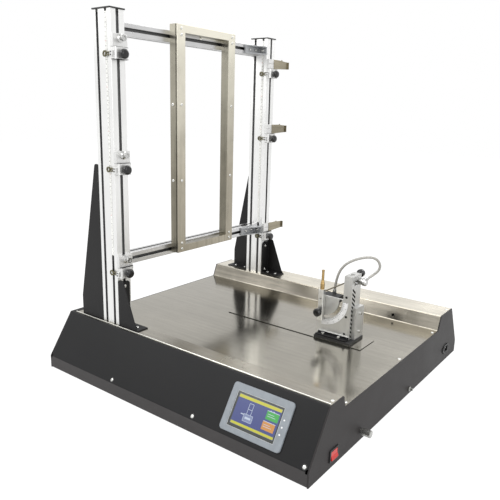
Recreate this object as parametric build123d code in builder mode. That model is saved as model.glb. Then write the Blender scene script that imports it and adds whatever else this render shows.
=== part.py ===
from build123d import *
import math
import os

os.makedirs("parts", exist_ok=True)

# The origin is the middle of the footprint on the table. +X runs to the switch side,
# +Y to the back, +Z up. All sizes are in millimetres.

# Cabinet
base_w = 800.0
base_d = 822.0
band_h = 33.0
front_slope_run = 69.0
front_ledge_z = 138.0
front_ledge_d = 53.0
front_step_run = 9.0
floor_z = 111.0
rear_rise_y = 245.5
rear_rise_run = 15.5
rear_ledge_z = 149.0
rear_ledge_d = 85.0
rear_band_h = 34.0
sheet_t = 2.0
side_t = 3.0
tray_t = 1.5
bend_r = 3.0
return_flange = 18.0
top_flange = 6.0
relief_notch = 5.0

# Columns and beams
col_x = -246.0
col_w = 60.0
col_d = 42.0
col_near_y = -309.5
col_far_y = 293.0
col_top = 890.0
slot_mouth = 8.2
slot_lip = 2.2
slot_inner = 16.4
slot_straight = 4.0
slot_floor_w = 9.0
slot_depth = 9.5
slot_pitch = 30.0
core_bore_r = 3.4
beam_size = 30.0
beam_top_z = 854.5
beam_low_z = 297.0
cap_t = 3.0
cap_over = 2.0
peg_h = 6.0
peg_clear = 0.1
tape_t = 0.8
tape_low = 320.0
tape_top = 884.0

# Gussets
gusset_t = 2.5
gusset_flange = 36.0
short_top = 260.0
tall_top = 540.0

# Specimen frames
frame_w = 235.5
frame_h = 597.0
frame_y = 4.0
frame_low = 288.0
opening_w = 175.5
opening_h = 557.0
front_frame_t = 3.5
frame_slit = 2.5
channel_d = 20.0
channel_t = 2.0

# Thread clamps, one list of knob heights for each column
near_levels = (793.0, 531.0, 276.0)
far_levels = (787.0, 591.0, 274.0)
slide_gap = 0.1
clamp_plate_t = 8.0
clamp_plate_h = 29.0
clamp_block_t = 14.0
clamp_block_low = 12.0
clamp_block_high = 15.0
runner_neck = 7.8
runner_head = 14.0
runner_head_t = 3.0
knob_r = 12.0
knob_len = 12.0
stem_r = 3.0
stem_clear = 0.05
pulley_drop = 34.0
eye_out_r = 7.0
eye_in_r = 3.5
eye_t = 2.0
prong_r = 1.2

# Touch screen on the front slope: position along X and distance up the slope
screen_x = 255.75
screen_s = 59.0
screen_w = 150.5
screen_h = 100.0
screen_rim = 4.0
screen_body_w = 138.0
screen_body_h = 86.0
screen_body_t = 24.0

# Right-hand fittings (y, z)
switch_y = -319.0
switch_z = 27.0
switch_w = 34.0
switch_h = 27.0
gas_knob_y = -201.0
gas_knob_z = 22.0
gas_knob_r = 8.0
gas_knob_len = 20.0
gas_port_y = 60.0
gas_port_z = 16.0
mains_y = 324.0
mains_z = 36.0

# Burner carriage
cover_low_x = -119.0
cover_high_x = 296.0
cover_low_y = -11.0
cover_high_y = 69.0
cover_gap = 0.2
cover_t = 1.5
travel_x = 260.0
stem_x = 211.0
stem_w = 24.0
stem_d = 16.0
pad_low_x = 163.0
pad_high_x = 264.0
pad_low_y = -9.0
pad_high_y = 68.0
pad_t = 6.0
plate_y = 12.0
plate_t = 4.0
plate_low_x = 160.0
plate_top = 222.0
post_low_x = 230.0
post_high_x = 252.0
post_back_y = 60.0
post_top = 284.0
rack_w = 17.0
rack_pitch = 11.0
rack_depth = 2.5
lift_gap = 0.3
guide_top = 202.0
guide_y = 24.0
guide_wall = 10.0
guide_inner_wall = 7.9
guide_back = 8.0
run_clear = 0.1

# Burner
pivot_x = 173.5
pivot_z = 215.0
burner_w = 14.0
burner_back_y = 10.8
burner_low = 158.0
burner_top = 240.0
nozzle_top = 290.0
pivot_r = 5.0
pin_clear = 0.05
peg_path_r = 50.0
peg_r = 4.0
slot_r = 4.5
scale_in_r = 57.0
scale_out_r = 71.0
scale_t = 0.6
lock_z = 182.0
lock_r = 10.5

# Gas hose
hose_r = 3.3
ferrule_r = 4.8
ferrule_len = 12.0

inner_w = base_w - 2 * side_t
front_y = -base_d / 2
back_y = base_d / 2
slope_top_y = front_y + front_slope_run
ledge_end_y = slope_top_y + front_ledge_d
floor_start_y = ledge_end_y + front_step_run
rise_top_y = rear_rise_y + rear_rise_run
rear_ledge_end_y = rise_top_y + rear_ledge_d
slope_angle = math.degrees(math.atan2(front_ledge_z - band_h, front_slope_run))
slope_plane = Plane(
    origin=(0, front_y, band_h),
    x_dir=(1, 0, 0),
    z_dir=(0, -math.sin(math.radians(slope_angle)), math.cos(math.radians(slope_angle))),
)
col_right = col_x + col_w / 2
col_left = col_x - col_w / 2
near_front = col_near_y - col_d / 2
near_back = col_near_y + col_d / 2
far_front = col_far_y - col_d / 2
far_back = col_far_y + col_d / 2


def save(part, name):
    """Labels a finished piece and writes it as a STEP file."""
    part.label = name
    export_step(part, f"parts/{name}.step")


slot_outline = (
    (slot_mouth / 2, 0),
    (slot_mouth / 2, -slot_lip),
    (slot_inner / 2, -slot_lip),
    (slot_inner / 2, -slot_lip - slot_straight),
    (slot_floor_w / 2, -slot_depth),
    (-slot_floor_w / 2, -slot_depth),
    (-slot_inner / 2, -slot_lip - slot_straight),
    (-slot_inner / 2, -slot_lip),
    (-slot_mouth / 2, -slot_lip),
    (-slot_mouth / 2, 0),
)


def slot_places(width, depth, across):
    """Places of the T-slots of a bar: at each offset on both broad faces, one on each end face."""
    broad = [Location((x, side * depth / 2, 0), (0, 0, 90 - side * 90)) for x in across for side in (1, -1)]
    ends = [Location((side * width / 2, 0, 0), (0, 0, -side * 90)) for side in (1, -1)]
    return broad + ends


# Button-head screws of one size hold gussets, cabinet, tray, frames and brackets
screw_r = 2.0
screw_head_r = 4.0
screw_head_h = 2.2
screw_len = 11.0
screw_hole_r = 2.05
tray_screw_x = inner_w / 2 - 6
short_screws = (160.0, 240.0)
tall_screws = (200.0, 360.0, 500.0)
foot_screws_right = (col_right + 16, col_right + 46)
foot_screws_left = (col_left - 20, col_left - 60)
near_screw_y = col_near_y - 1
far_screw_y = col_far_y - 1
frame_front_x = -220.0
frame_front_low = frame_low + 10
frame_front_high = frame_low + frame_h - 10
stile_w = (frame_w - opening_w) / 2
stile_y = (frame_y - (opening_w + stile_w) / 2, frame_y + (opening_w + stile_w) / 2)
frame_thirds = (frame_low + frame_h / 3, frame_low + 2 * frame_h / 3)

facing_right = (0, 90, 0)
facing_left = (0, -90, 0)
facing_front = (90, 0, 0)
facing_back = (-90, 0, 0)
gusset_columns = ((near_screw_y, front_ledge_z), (far_screw_y, rear_ledge_z))
gusset_places = []
for y, ledge in gusset_columns:
    gusset_places += [Location((col_right + gusset_t, y, z), facing_right) for z in short_screws]
    gusset_places += [Location((col_left - gusset_t, y, z), facing_left) for z in tall_screws]
    gusset_places += [Location((x, y, ledge + gusset_t)) for x in foot_screws_right + foot_screws_left]
slope_screw_xs = (-155.0, 107.0, 388.0)
slope_screw_s = 7.0
slope_places = [slope_plane.location * Location((x, slope_screw_s, 0)) for x in slope_screw_xs]
tray_screws = (
    (-320.0, front_ledge_z), (-264.0, floor_z), (5.0, floor_z), (225.0, floor_z), (324.0, rear_ledge_z),
)
tray_places = [Location((tray_screw_x, y, z)) for y, z in tray_screws]
frame_places = []
for y in stile_y:
    for z in (frame_front_low, frame_front_low + 16, frame_front_high - 16, frame_front_high) + frame_thirds:
        frame_places.append(Location((frame_front_x, y, z), facing_right))
for z in frame_thirds:
    frame_places.append(Location((-236, frame_y - frame_w / 2, z), facing_front))
    frame_places.append(Location((-236, frame_y + frame_w / 2, z), facing_back))
bracket_leg = 75.0
bracket_h = 24.0
bracket_t = 5.0
cheek_t = 3.0
washer_r = 7.5
washer_t = 1.5
bracket_x = col_left + beam_size
bracket_foot = col_right - bracket_x
bracket_hole_x = bracket_x + 17
bracket_slots = (24.0, 52.0)
bracket_places = []
for z in (beam_top_z, beam_low_z):
    bracket_places.append(Location((bracket_hole_x, far_front - bracket_t - washer_t, z), facing_front))
    bracket_places += [Location((bracket_x + bracket_t, far_front - y, z), facing_right) for y in bracket_slots]
all_screws = gusset_places + slope_places + tray_places + frame_places + bracket_places


# Side plates follow the cabinet outline and carry a bent foot inside the cabinet
outline = (
    (front_y, 0),
    (front_y, band_h),
    (slope_top_y, front_ledge_z),
    (ledge_end_y, front_ledge_z),
    (floor_start_y, floor_z),
    (rear_rise_y, floor_z),
    (rise_top_y, rear_ledge_z),
    (rear_ledge_end_y, rear_ledge_z),
    (back_y, rear_band_h),
    (back_y, 0),
)

with BuildPart() as side_plate_left:
    with BuildSketch(Plane.YZ.offset(-base_w / 2)):
        with BuildLine():
            Polyline(*outline, close=True)
        make_face()
    extrude(amount=side_t)
    with BuildSketch(Plane.XY.offset(sheet_t)):
        with Locations((-base_w / 2 + side_t, 0)):
            Rectangle(return_flange, base_d - 4 * return_flange, align=(Align.MIN, Align.CENTER))
    extrude(amount=side_t)
save(side_plate_left.part, "side_plate_left")

with BuildPart() as side_plate_right:
    with BuildSketch(Plane.YZ.offset(inner_w / 2)):
        with BuildLine():
            Polyline(*outline, close=True)
        make_face()
        with Locations((switch_y, switch_z)):
            Rectangle(switch_w - 4, switch_h - 4, mode=Mode.SUBTRACT)
        with Locations((gas_knob_y, gas_knob_z)):
            Circle(gas_knob_r - 3, mode=Mode.SUBTRACT)
        with Locations((gas_port_y, gas_port_z)):
            Circle(4.5, mode=Mode.SUBTRACT)
        with Locations((mains_y, mains_z)):
            Rectangle(28, 20, mode=Mode.SUBTRACT)
    extrude(amount=side_t)
save(side_plate_right.part, "side_plate_right")

# The front panel is one bent sheet with its window cut through the slope
with BuildPart() as front_panel:
    with BuildSketch(Plane.YZ.offset(-inner_w / 2)):
        with BuildLine():
            FilletPolyline(
                (front_y + return_flange, 0),
                (front_y, 0),
                (front_y, band_h),
                (slope_top_y, front_ledge_z),
                (slope_top_y + top_flange, front_ledge_z),
                radius=bend_r,
            )
            offset(amount=sheet_t, side=Side.RIGHT)
        make_face()
    extrude(amount=inner_w)
    with BuildSketch(slope_plane):
        with Locations((screen_x, screen_s)):
            Rectangle(screen_body_w + 1, screen_body_h + 1)
    extrude(amount=-screen_body_t, mode=Mode.SUBTRACT)
    with BuildSketch(Plane.YZ.offset(-inner_w / 2)) as relief:
        with Locations((front_y, band_h)):
            Circle(relief_notch)
    extrude(amount=relief_notch, mode=Mode.SUBTRACT)
    extrude(
        relief.sketch.moved(Location((inner_w - relief_notch, 0, 0))),
        amount=relief_notch, mode=Mode.SUBTRACT,
    )
    with Locations(*slope_places):
        Cylinder(screw_hole_r, 4 * sheet_t, mode=Mode.SUBTRACT)
save(front_panel.part, "front_panel")

with BuildPart() as rear_panel:
    with BuildSketch(Plane.YZ.offset(-inner_w / 2)):
        with BuildLine():
            FilletPolyline(
                (rear_ledge_end_y - return_flange, rear_ledge_z - tray_t),
                (rear_ledge_end_y - tray_t, rear_ledge_z - tray_t),
                (back_y, rear_band_h),
                (back_y, 0),
                (back_y - return_flange, 0),
                radius=bend_r,
            )
            offset(amount=sheet_t, side=Side.RIGHT)
        make_face()
    extrude(amount=inner_w)
save(rear_panel.part, "rear_panel")

with BuildPart() as bottom_plate:
    with BuildSketch(Plane.XY):
        Rectangle(inner_w, base_d - 2 * return_flange)
    extrude(amount=sheet_t)
save(bottom_plate.part, "bottom_plate")

# The tray is one bent stainless sheet from ledge to ledge
carriage_y = (cover_low_y + cover_high_y) / 2
with BuildPart() as tray:
    with BuildSketch(Plane.YZ.offset(-inner_w / 2)):
        with BuildLine():
            FilletPolyline(
                (slope_top_y + top_flange, front_ledge_z),
                (ledge_end_y, front_ledge_z),
                (floor_start_y, floor_z),
                (rear_rise_y, floor_z),
                (rise_top_y, rear_ledge_z),
                (rear_ledge_end_y, rear_ledge_z),
                radius=bend_r,
            )
            offset(amount=tray_t, side=Side.RIGHT)
        make_face()
    extrude(amount=inner_w)
    with BuildSketch(Plane.XY.offset(floor_z)):
        with Locations((stem_x - travel_x / 2, carriage_y)):
            SlotOverall(travel_x + stem_w + 12, stem_d + 8)
    extrude(amount=-3 * tray_t, mode=Mode.SUBTRACT)
    with BuildSketch(Plane.XZ.offset(-rear_rise_y)):
        with Locations((267, 124)):
            Circle(4)
    extrude(amount=-rear_rise_run, mode=Mode.SUBTRACT)
    foot_places = [
        Location((x, y, ledge)) for y, ledge in gusset_columns for x in foot_screws_right + foot_screws_left
    ]
    with Locations(*tray_places, *foot_places):
        Cylinder(screw_hole_r, 4 * tray_t, mode=Mode.SUBTRACT)
save(tray.part, "tray")

# Touch screen
with BuildPart() as screen_bezel:
    with BuildSketch(slope_plane):
        with Locations((screen_x, screen_s)):
            RectangleRounded(screen_w, screen_h, 8)
    extrude(amount=screen_rim)
    fillet(screen_bezel.faces().sort_by(Axis((0, 0, 0), slope_plane.z_dir))[-1].edges(), 1.5)
    with BuildSketch(slope_plane):
        with Locations((screen_x, screen_s)):
            Rectangle(screen_body_w, screen_body_h)
    extrude(amount=-screen_body_t)
    with BuildSketch(slope_plane.offset(screen_rim)):
        with Locations((screen_x - 1.5, screen_s - 2)):
            RectangleRounded(117, 74, 2)
    extrude(amount=-2, mode=Mode.SUBTRACT)
save(screen_bezel.part, "screen_bezel")

with BuildPart() as screen_glass:
    with BuildSketch(slope_plane.offset(screen_rim - 2)):
        with Locations((screen_x - 1.5, screen_s - 2)):
            RectangleRounded(116.6, 73.6, 2)
    extrude(amount=1.2)
save(screen_glass.part, "screen_glass")

# Rocker switch
switch_plane = Plane.YZ.offset(base_w / 2)
rocker_w = 25.0
rocker_h = 18.0
rocker_gap = 1.7
rocker_axle_x = base_w / 2 - 3.0
rocker_pin_r = 1.5
with BuildPart() as switch_housing:
    with BuildSketch(switch_plane):
        with Locations((switch_y, switch_z)):
            RectangleRounded(switch_w, switch_h, 2)
    extrude(amount=2.5)
    with BuildSketch(switch_plane):
        with Locations((switch_y, switch_z)):
            Rectangle(switch_w - 4.2, switch_h - 4.2)
    extrude(amount=-20)
    with BuildSketch(switch_plane.offset(2.5)):
        with Locations((switch_y, switch_z)):
            Rectangle(rocker_w + 1, rocker_h + 2 * rocker_gap)
    extrude(amount=-14, mode=Mode.SUBTRACT)
    with Locations(Location((rocker_axle_x, switch_y, switch_z), facing_front)):
        Cylinder(rocker_pin_r + pin_clear, switch_w, mode=Mode.SUBTRACT)
save(switch_housing.part, "switch_housing")

# The rocker's face is a shallow V that tips about its own axle
with BuildPart() as switch_rocker:
    with BuildSketch(Plane.XZ.offset(-(switch_y - rocker_w / 2))):
        with BuildLine():
            Polyline(
                (rocker_axle_x - 5, switch_z - 6),
                (rocker_axle_x - 5, switch_z + 6),
                (base_w / 2 + 2.0, switch_z + rocker_h / 2),
                (base_w / 2 + 2.2, switch_z),
                (base_w / 2 + 5.0, switch_z - rocker_h / 2 + 0.6),
                (base_w / 2 + 2.0, switch_z - rocker_h / 2),
                close=True,
            )
        make_face()
    extrude(amount=-rocker_w)
    with Locations(Location((rocker_axle_x, switch_y, switch_z), facing_front)):
        Cylinder(rocker_pin_r, switch_w - 4.8)
save(switch_rocker.part, "switch_rocker")

# Gas flow knob with a grip of flutes, on a shaft that runs in the right plate
with BuildPart() as gas_knob:
    with BuildSketch(Plane.YZ.offset(base_w / 2 + 4)):
        with Locations((gas_knob_y, gas_knob_z)):
            Circle(gas_knob_r)
            with PolarLocations(gas_knob_r, 16):
                Circle(0.6, mode=Mode.SUBTRACT)
    extrude(amount=gas_knob_len)
    with BuildSketch(Plane.YZ.offset(base_w / 2 - side_t - 12)):
        with Locations((gas_knob_y, gas_knob_z)):
            Circle(gas_knob_r - 3 - stem_clear)
    extrude(amount=side_t + 16)
save(gas_knob.part, "gas_knob")

# Gas inlet: hexagon, barbed tail and a threaded body through the plate
with BuildPart() as gas_inlet:
    with BuildSketch(Plane.YZ.offset(base_w / 2)):
        with Locations((gas_port_y, gas_port_z)):
            RegularPolygon(6.5, 6)
    extrude(amount=4)
    with BuildSketch(Plane.XZ.offset(-gas_port_y)):
        with BuildLine():
            Polyline(
                (base_w / 2 - side_t - 10, gas_port_z + 1.5),
                (base_w / 2 - side_t - 10, gas_port_z + 4.5),
                (base_w / 2 + 4, gas_port_z + 4.5),
                (base_w / 2 + 5, gas_port_z + 3),
                (base_w / 2 + 8, gas_port_z + 4),
                (base_w / 2 + 8, gas_port_z + 3),
                (base_w / 2 + 11, gas_port_z + 3.6),
                (base_w / 2 + 11, gas_port_z + 1.5),
                close=True,
            )
        make_face()
    revolve(axis=Axis((0, gas_port_y, gas_port_z), (1, 0, 0)))
    with BuildSketch(Plane.YZ.offset(base_w / 2 - side_t - 10)):
        with Locations((gas_port_y, gas_port_z)):
            Circle(1.5)
    extrude(amount=21 + side_t, mode=Mode.SUBTRACT)
save(gas_inlet.part, "gas_inlet")

# Three-pin mains inlet with screw ears and its contact blades
with BuildPart() as mains_inlet:
    with BuildSketch(switch_plane):
        with Locations((mains_y, mains_z)):
            SlotCenterToCenter(38, 14)
            RectangleRounded(34, 25, 3)
    extrude(amount=2.5)
    with BuildSketch(switch_plane):
        with Locations((mains_y, mains_z)):
            Rectangle(27.8, 19.8)
    extrude(amount=-22)
    with BuildSketch(switch_plane.offset(2.5)):
        with Locations((mains_y, mains_z)):
            Rectangle(24, 16)
    extrude(amount=-18, mode=Mode.SUBTRACT)
    with BuildSketch(switch_plane.offset(2.5)):
        with Locations((mains_y - 19, mains_z), (mains_y + 19, mains_z)):
            Circle(1.7)
    extrude(amount=-2.5, mode=Mode.SUBTRACT)
    with BuildSketch(switch_plane.offset(-15.5)):
        with Locations((mains_y - 7, mains_z - 2), (mains_y, mains_z + 3), (mains_y + 7, mains_z - 2)):
            Rectangle(2, 5)
    extrude(amount=15)
save(mains_inlet.part, "mains_inlet")


# Columns: T-slot bars with two slots front and back and one in each side
column_across = (-slot_pitch / 2, slot_pitch / 2)


def column(y, low):
    """One upright bar standing on its ledge."""
    with BuildPart() as bar:
        with BuildSketch(Plane((col_x, y, low))):
            RectangleRounded(col_w, col_d, 1.5)
            with Locations(*slot_places(col_w, col_d, column_across)):
                Polygon(*slot_outline, align=None, mode=Mode.SUBTRACT)
            with Locations((-12.5, 0), (12.5, 0)):
                Circle(core_bore_r, mode=Mode.SUBTRACT)
            RectangleRounded(12, 16, 2, mode=Mode.SUBTRACT)
        extrude(amount=col_top - low)
    return bar.part


def beam(z):
    """One cross bar between the columns, flush with their left sides."""
    with BuildPart() as bar:
        with BuildSketch(Plane((col_left + beam_size / 2, near_back, z), x_dir=(1, 0, 0), z_dir=(0, 1, 0))):
            RectangleRounded(beam_size, beam_size, 1.5)
            with Locations(*slot_places(beam_size, beam_size, (0,))):
                Polygon(*slot_outline, align=None, mode=Mode.SUBTRACT)
            Circle(core_bore_r, mode=Mode.SUBTRACT)
        extrude(amount=far_front - near_back)
    return bar.part


save(column(col_near_y, front_ledge_z), "column_near")
save(column(col_far_y, rear_ledge_z), "column_far")
save(beam(beam_top_z), "beam_top")
save(beam(beam_low_z), "beam_low")

# End caps press their pegs into the slot mouths
with BuildPart() as column_caps:
    for y in (col_near_y, col_far_y):
        with BuildSketch(Plane((col_x, y, col_top))):
            RectangleRounded(col_w + 2 * cap_over, col_d + 2 * cap_over, 2)
        extrude(amount=cap_t)
        with BuildSketch(Plane((col_x, y, col_top))):
            with Locations(*slot_places(col_w, col_d, column_across)):
                Rectangle(slot_mouth - 2 * peg_clear, slot_lip + slot_straight, align=(Align.CENTER, Align.MAX))
        extrude(amount=-peg_h)
save(column_caps.part, "column_caps")

# Scale tapes lie in the mouths of the right-hand front slots
with BuildPart() as scale_tapes:
    for y in (near_front, far_front):
        with Locations((col_x + slot_pitch / 2, y + peg_clear, tape_low)):
            Box(
                slot_mouth - 2 * peg_clear, tape_t, tape_top - tape_low,
                align=(Align.CENTER, Align.MIN, Align.MIN),
            )
    with Locations(*bracket_places):
        Cylinder(screw_hole_r, 4 * screw_len, mode=Mode.SUBTRACT)
save(scale_tapes.part, "scale_tapes")

with BuildPart() as one_screw:
    Cylinder(screw_head_r, screw_head_h, align=(Align.CENTER, Align.CENTER, Align.MIN))
    chamfer(one_screw.faces().sort_by(Axis.Z)[-1].edges(), 1.0)
    Cylinder(screw_r, screw_len, align=(Align.CENTER, Align.CENTER, Align.MAX))
    with BuildSketch(Plane.XY.offset(screw_head_h)):
        RegularPolygon(1.4, 6)
    extrude(amount=-1.4, mode=Mode.SUBTRACT)

with BuildPart() as button_screws:
    with Locations(*all_screws):
        add(one_screw.part)
save(button_screws.part, "button_screws")

def gusset(corners, ledge, screw_y, side, screw_zs, foot_xs, round_r):
    """A bent gusset: upright web, a flange on the column's side and a foot on the ledge."""
    near = ledge == front_ledge_z
    face_x = col_x + side * col_w / 2
    web_y = near_front if near else far_back
    inward = 1 if near else -1
    x_align = Align.MIN if side > 0 else Align.MAX
    y_align = Align.MIN if near else Align.MAX
    reach = max(abs(x - face_x) for x, z in corners)
    top = max(z for x, z in corners)
    with BuildPart() as plate:
        with BuildSketch(Plane.XZ.offset(-web_y)) as web:
            with BuildLine():
                Polyline(*corners, close=True)
            make_face()
            fillet(web.vertices().sort_by(Axis.Y)[-2:], round_r)
        extrude(amount=-inward * gusset_t)
        with BuildSketch(Plane.YZ.offset(face_x)) as flange:
            with Locations((web_y, ledge)):
                Rectangle(gusset_flange, top - round_r - ledge, align=(y_align, Align.MIN))
            fillet(flange.vertices().sort_by(Axis.Y)[-2:].sort_by(Axis.X)[-1 if near else 0], round_r)
        extrude(amount=side * gusset_t)
        with Locations((face_x, web_y, ledge)):
            Box(reach, gusset_flange, gusset_t, align=(x_align, y_align, Align.MIN))
        with Locations(*[Location((face_x, screw_y, z), facing_right) for z in screw_zs]):
            Cylinder(screw_hole_r, 4 * gusset_t, mode=Mode.SUBTRACT)
        with Locations(*[Location((x, screw_y, ledge)) for x in foot_xs]):
            Cylinder(screw_hole_r, 4 * gusset_t, mode=Mode.SUBTRACT)
    return plate.part


def short_corners(ledge):
    """Web outline of a short gusset on the column's right side."""
    return (
        (col_right, ledge),
        (col_right, short_top),
        (col_right + 18, short_top),
        (col_right + 57, short_top - 100),
        (col_right + 66, ledge),
    )


def tall_corners(ledge):
    """Web outline of a tall gusset on the column's left side."""
    return (
        (col_left, ledge),
        (col_left, tall_top),
        (col_left - 14, tall_top),
        (col_left - 84, ledge + 52),
        (col_left - 84, ledge),
    )


for name, ledge, screw_y in (
    ("near", front_ledge_z, near_screw_y),
    ("far", rear_ledge_z, far_screw_y),
):
    save(
        gusset(short_corners(ledge), ledge, screw_y, 1, short_screws, foot_screws_right, 8),
        f"gusset_short_{name}",
    )
    save(
        gusset(tall_corners(ledge), ledge, screw_y, -1, tall_screws, foot_screws_left, 6),
        f"gusset_tall_{name}",
    )

# Rear specimen frame: a channel ring whose inner wall stands out to carry the front plate
frame_back_x = bracket_x
frame_mid_z = frame_low + frame_h / 2
with BuildPart() as rear_frame:
    with BuildSketch(Plane.YZ.offset(frame_back_x)):
        with Locations((frame_y, frame_mid_z)):
            Rectangle(frame_w, frame_h)
            Rectangle(opening_w, opening_h, mode=Mode.SUBTRACT)
    extrude(amount=channel_d)
    with BuildSketch(Plane.YZ.offset(frame_back_x + channel_t)):
        with Locations((frame_y, frame_mid_z)):
            Rectangle(frame_w - 2 * channel_t, frame_h - 2 * channel_t)
            Rectangle(opening_w + 2 * channel_t, opening_h + 2 * channel_t, mode=Mode.SUBTRACT)
    extrude(amount=channel_d, mode=Mode.SUBTRACT)
    with BuildSketch(Plane.YZ.offset(frame_back_x + channel_d)):
        with Locations((frame_y, frame_mid_z)):
            Rectangle(opening_w + 2 * channel_t, opening_h + 2 * channel_t)
            Rectangle(opening_w, opening_h, mode=Mode.SUBTRACT)
    extrude(amount=frame_slit)
    with Locations(*[Location((-236, y, z), facing_front) for y in (
            frame_y - frame_w / 2, frame_y + frame_w / 2) for z in frame_thirds]):
        Cylinder(screw_hole_r, 4 * channel_t, mode=Mode.SUBTRACT)
save(rear_frame.part, "rear_frame")

with BuildPart() as front_frame:
    with BuildSketch(Plane.YZ.offset(frame_back_x + channel_d + frame_slit)):
        with Locations((frame_y, frame_mid_z)):
            Rectangle(frame_w, frame_h)
            Rectangle(opening_w, opening_h, mode=Mode.SUBTRACT)
        with Locations(*[(y, z) for y in stile_y for z in (
                frame_front_low, frame_front_low + 16,
                frame_front_high - 16, frame_front_high) + frame_thirds]):
            Circle(screw_hole_r, mode=Mode.SUBTRACT)
    extrude(amount=front_frame_t)
    chamfer(front_frame.faces().sort_by(Axis.X)[-1].outer_wire().edges(), 0.6)
save(front_frame.part, "front_frame")

# Cast corner brackets between the beams and the far column, with slotted legs and cheeks
with BuildPart() as corner_brackets:
    for z in (beam_top_z, beam_low_z):
        low = z - bracket_h / 2
        with BuildSketch(Plane.XY.offset(low)):
            with BuildLine():
                Polyline(
                    (bracket_x, far_front),
                    (bracket_x, far_front - bracket_leg),
                    (bracket_x + bracket_t, far_front - bracket_leg),
                    (bracket_x + bracket_foot, far_front - bracket_t),
                    (bracket_x + bracket_foot, far_front),
                    close=True,
                )
            make_face()
        extrude(amount=bracket_h)
        with BuildSketch(Plane.XY.offset(low + cheek_t)):
            with BuildLine():
                Polyline(
                    (bracket_x + bracket_t, far_front - bracket_t),
                    (bracket_x + bracket_t, far_front - bracket_leg),
                    (bracket_x + bracket_foot, far_front - bracket_leg),
                    (bracket_x + bracket_foot, far_front - bracket_t),
                    close=True,
                )
            make_face()
        extrude(amount=bracket_h - 2 * cheek_t, mode=Mode.SUBTRACT)
        with BuildSketch(Plane.YZ.offset(bracket_x)):
            with Locations(*[(far_front - y, z) for y in bracket_slots]):
                SlotOverall(14, 2 * screw_hole_r)
        extrude(amount=bracket_t, mode=Mode.SUBTRACT)
        with BuildSketch(Plane.XZ.offset(-far_front + bracket_t)):
            with Locations((bracket_hole_x, z)):
                Circle(washer_r)
        extrude(amount=washer_t)
        with Locations(Location((bracket_hole_x, far_front, z), facing_front)):
            Cylinder(screw_hole_r, 4 * bracket_t, mode=Mode.SUBTRACT)
save(corner_brackets.part, "corner_brackets")

def clamp_body(level, col_y, far):
    """One thread clamp: block, upper plate, runner in the side slot and eyelet pointer."""
    back_x = col_right + slide_gap
    front_face = col_y - col_d / 2
    plate_low = level + clamp_block_high
    plate_high = plate_low + clamp_plate_h
    low = level - clamp_block_low
    with BuildPart() as body:
        with BuildSketch(Plane.XY.offset(low)) as block:
            with Locations((back_x, front_face)):
                Rectangle(clamp_block_t - slide_gap, col_d, align=(Align.MIN, Align.MIN))
            fillet(block.vertices().sort_by(Axis.X)[-2:], 6)
        extrude(amount=plate_low - low)
        with BuildSketch(Plane.XY.offset(plate_low)):
            with Locations((back_x, front_face)):
                Rectangle(clamp_plate_t - slide_gap, col_d, align=(Align.MIN, Align.MIN))
        extrude(amount=clamp_plate_h)
        with BuildSketch(Plane.YZ.offset(back_x)):
            with Locations((col_y, low)):
                Rectangle(runner_neck, plate_high - low, align=(Align.CENTER, Align.MIN))
        extrude(amount=-slot_lip - 4 * slide_gap)
        with BuildSketch(Plane.YZ.offset(back_x - slot_lip - 4 * slide_gap)):
            with Locations((col_y, low)):
                Rectangle(runner_head, plate_high - low, align=(Align.CENTER, Align.MIN))
        extrude(amount=-runner_head_t)
        with Locations(Location((col_right, col_y, level), facing_right)):
            Cylinder(stem_r + stem_clear, 4 * clamp_block_t, mode=Mode.SUBTRACT)
        with Locations((col_right + 3, front_face, level)):
            Box(8, 6, 12, align=(Align.MIN, Align.MAX, Align.CENTER))
        eye_x = col_right - 17
        eye_y = front_face - 3.4
        with Locations(Location((eye_x, eye_y, level), facing_front)):
            Cylinder(eye_out_r, eye_t)
            Cylinder(eye_in_r, eye_t, mode=Mode.SUBTRACT)
        with Locations(
            Location((eye_x + eye_in_r + 1.5, eye_y, level + 3), facing_right),
            Location((eye_x + eye_in_r + 1.5, eye_y, level - 3), facing_right),
        ):
            Cylinder(prong_r, 16, align=(Align.CENTER, Align.CENTER, Align.MIN))
        if far:
            arm_mid = plate_low + clamp_plate_h / 2
            arm_x = col_right + clamp_plate_t
            with BuildSketch(Plane.YZ.offset(arm_x)):
                with BuildLine():
                    Polyline(
                        (col_y + 6, arm_mid - 14),
                        (col_y + 6, arm_mid + 14),
                        (col_y + 45, arm_mid + 14),
                        (col_y + 46, arm_mid + 16),
                        (col_y + 49, arm_mid + 16),
                        (col_y + 51, arm_mid + 13),
                        (far_back + 60, arm_mid + 11),
                        (far_back + 60, arm_mid - 10),
                        close=True,
                    )
                make_face()
            extrude(amount=1.5)
            with Locations((arm_x, far_back + 60, arm_mid + 0.5)):
                Box(6, 1.5, 21, align=(Align.MIN, Align.MAX, Align.CENTER))
            with Locations((arm_x, front_face, arm_mid + 1)):
                Box(2, 26, 1.6, align=(Align.MAX, Align.MIN, Align.CENTER), mode=Mode.SUBTRACT)
        else:
            with Locations(Location((col_right, col_y, level + pulley_drop), facing_right)):
                Cylinder(stem_r + stem_clear, 2 * clamp_plate_t, align=(Align.CENTER, Align.CENTER, Align.MIN),
                         mode=Mode.SUBTRACT)
    return body.part


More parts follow.
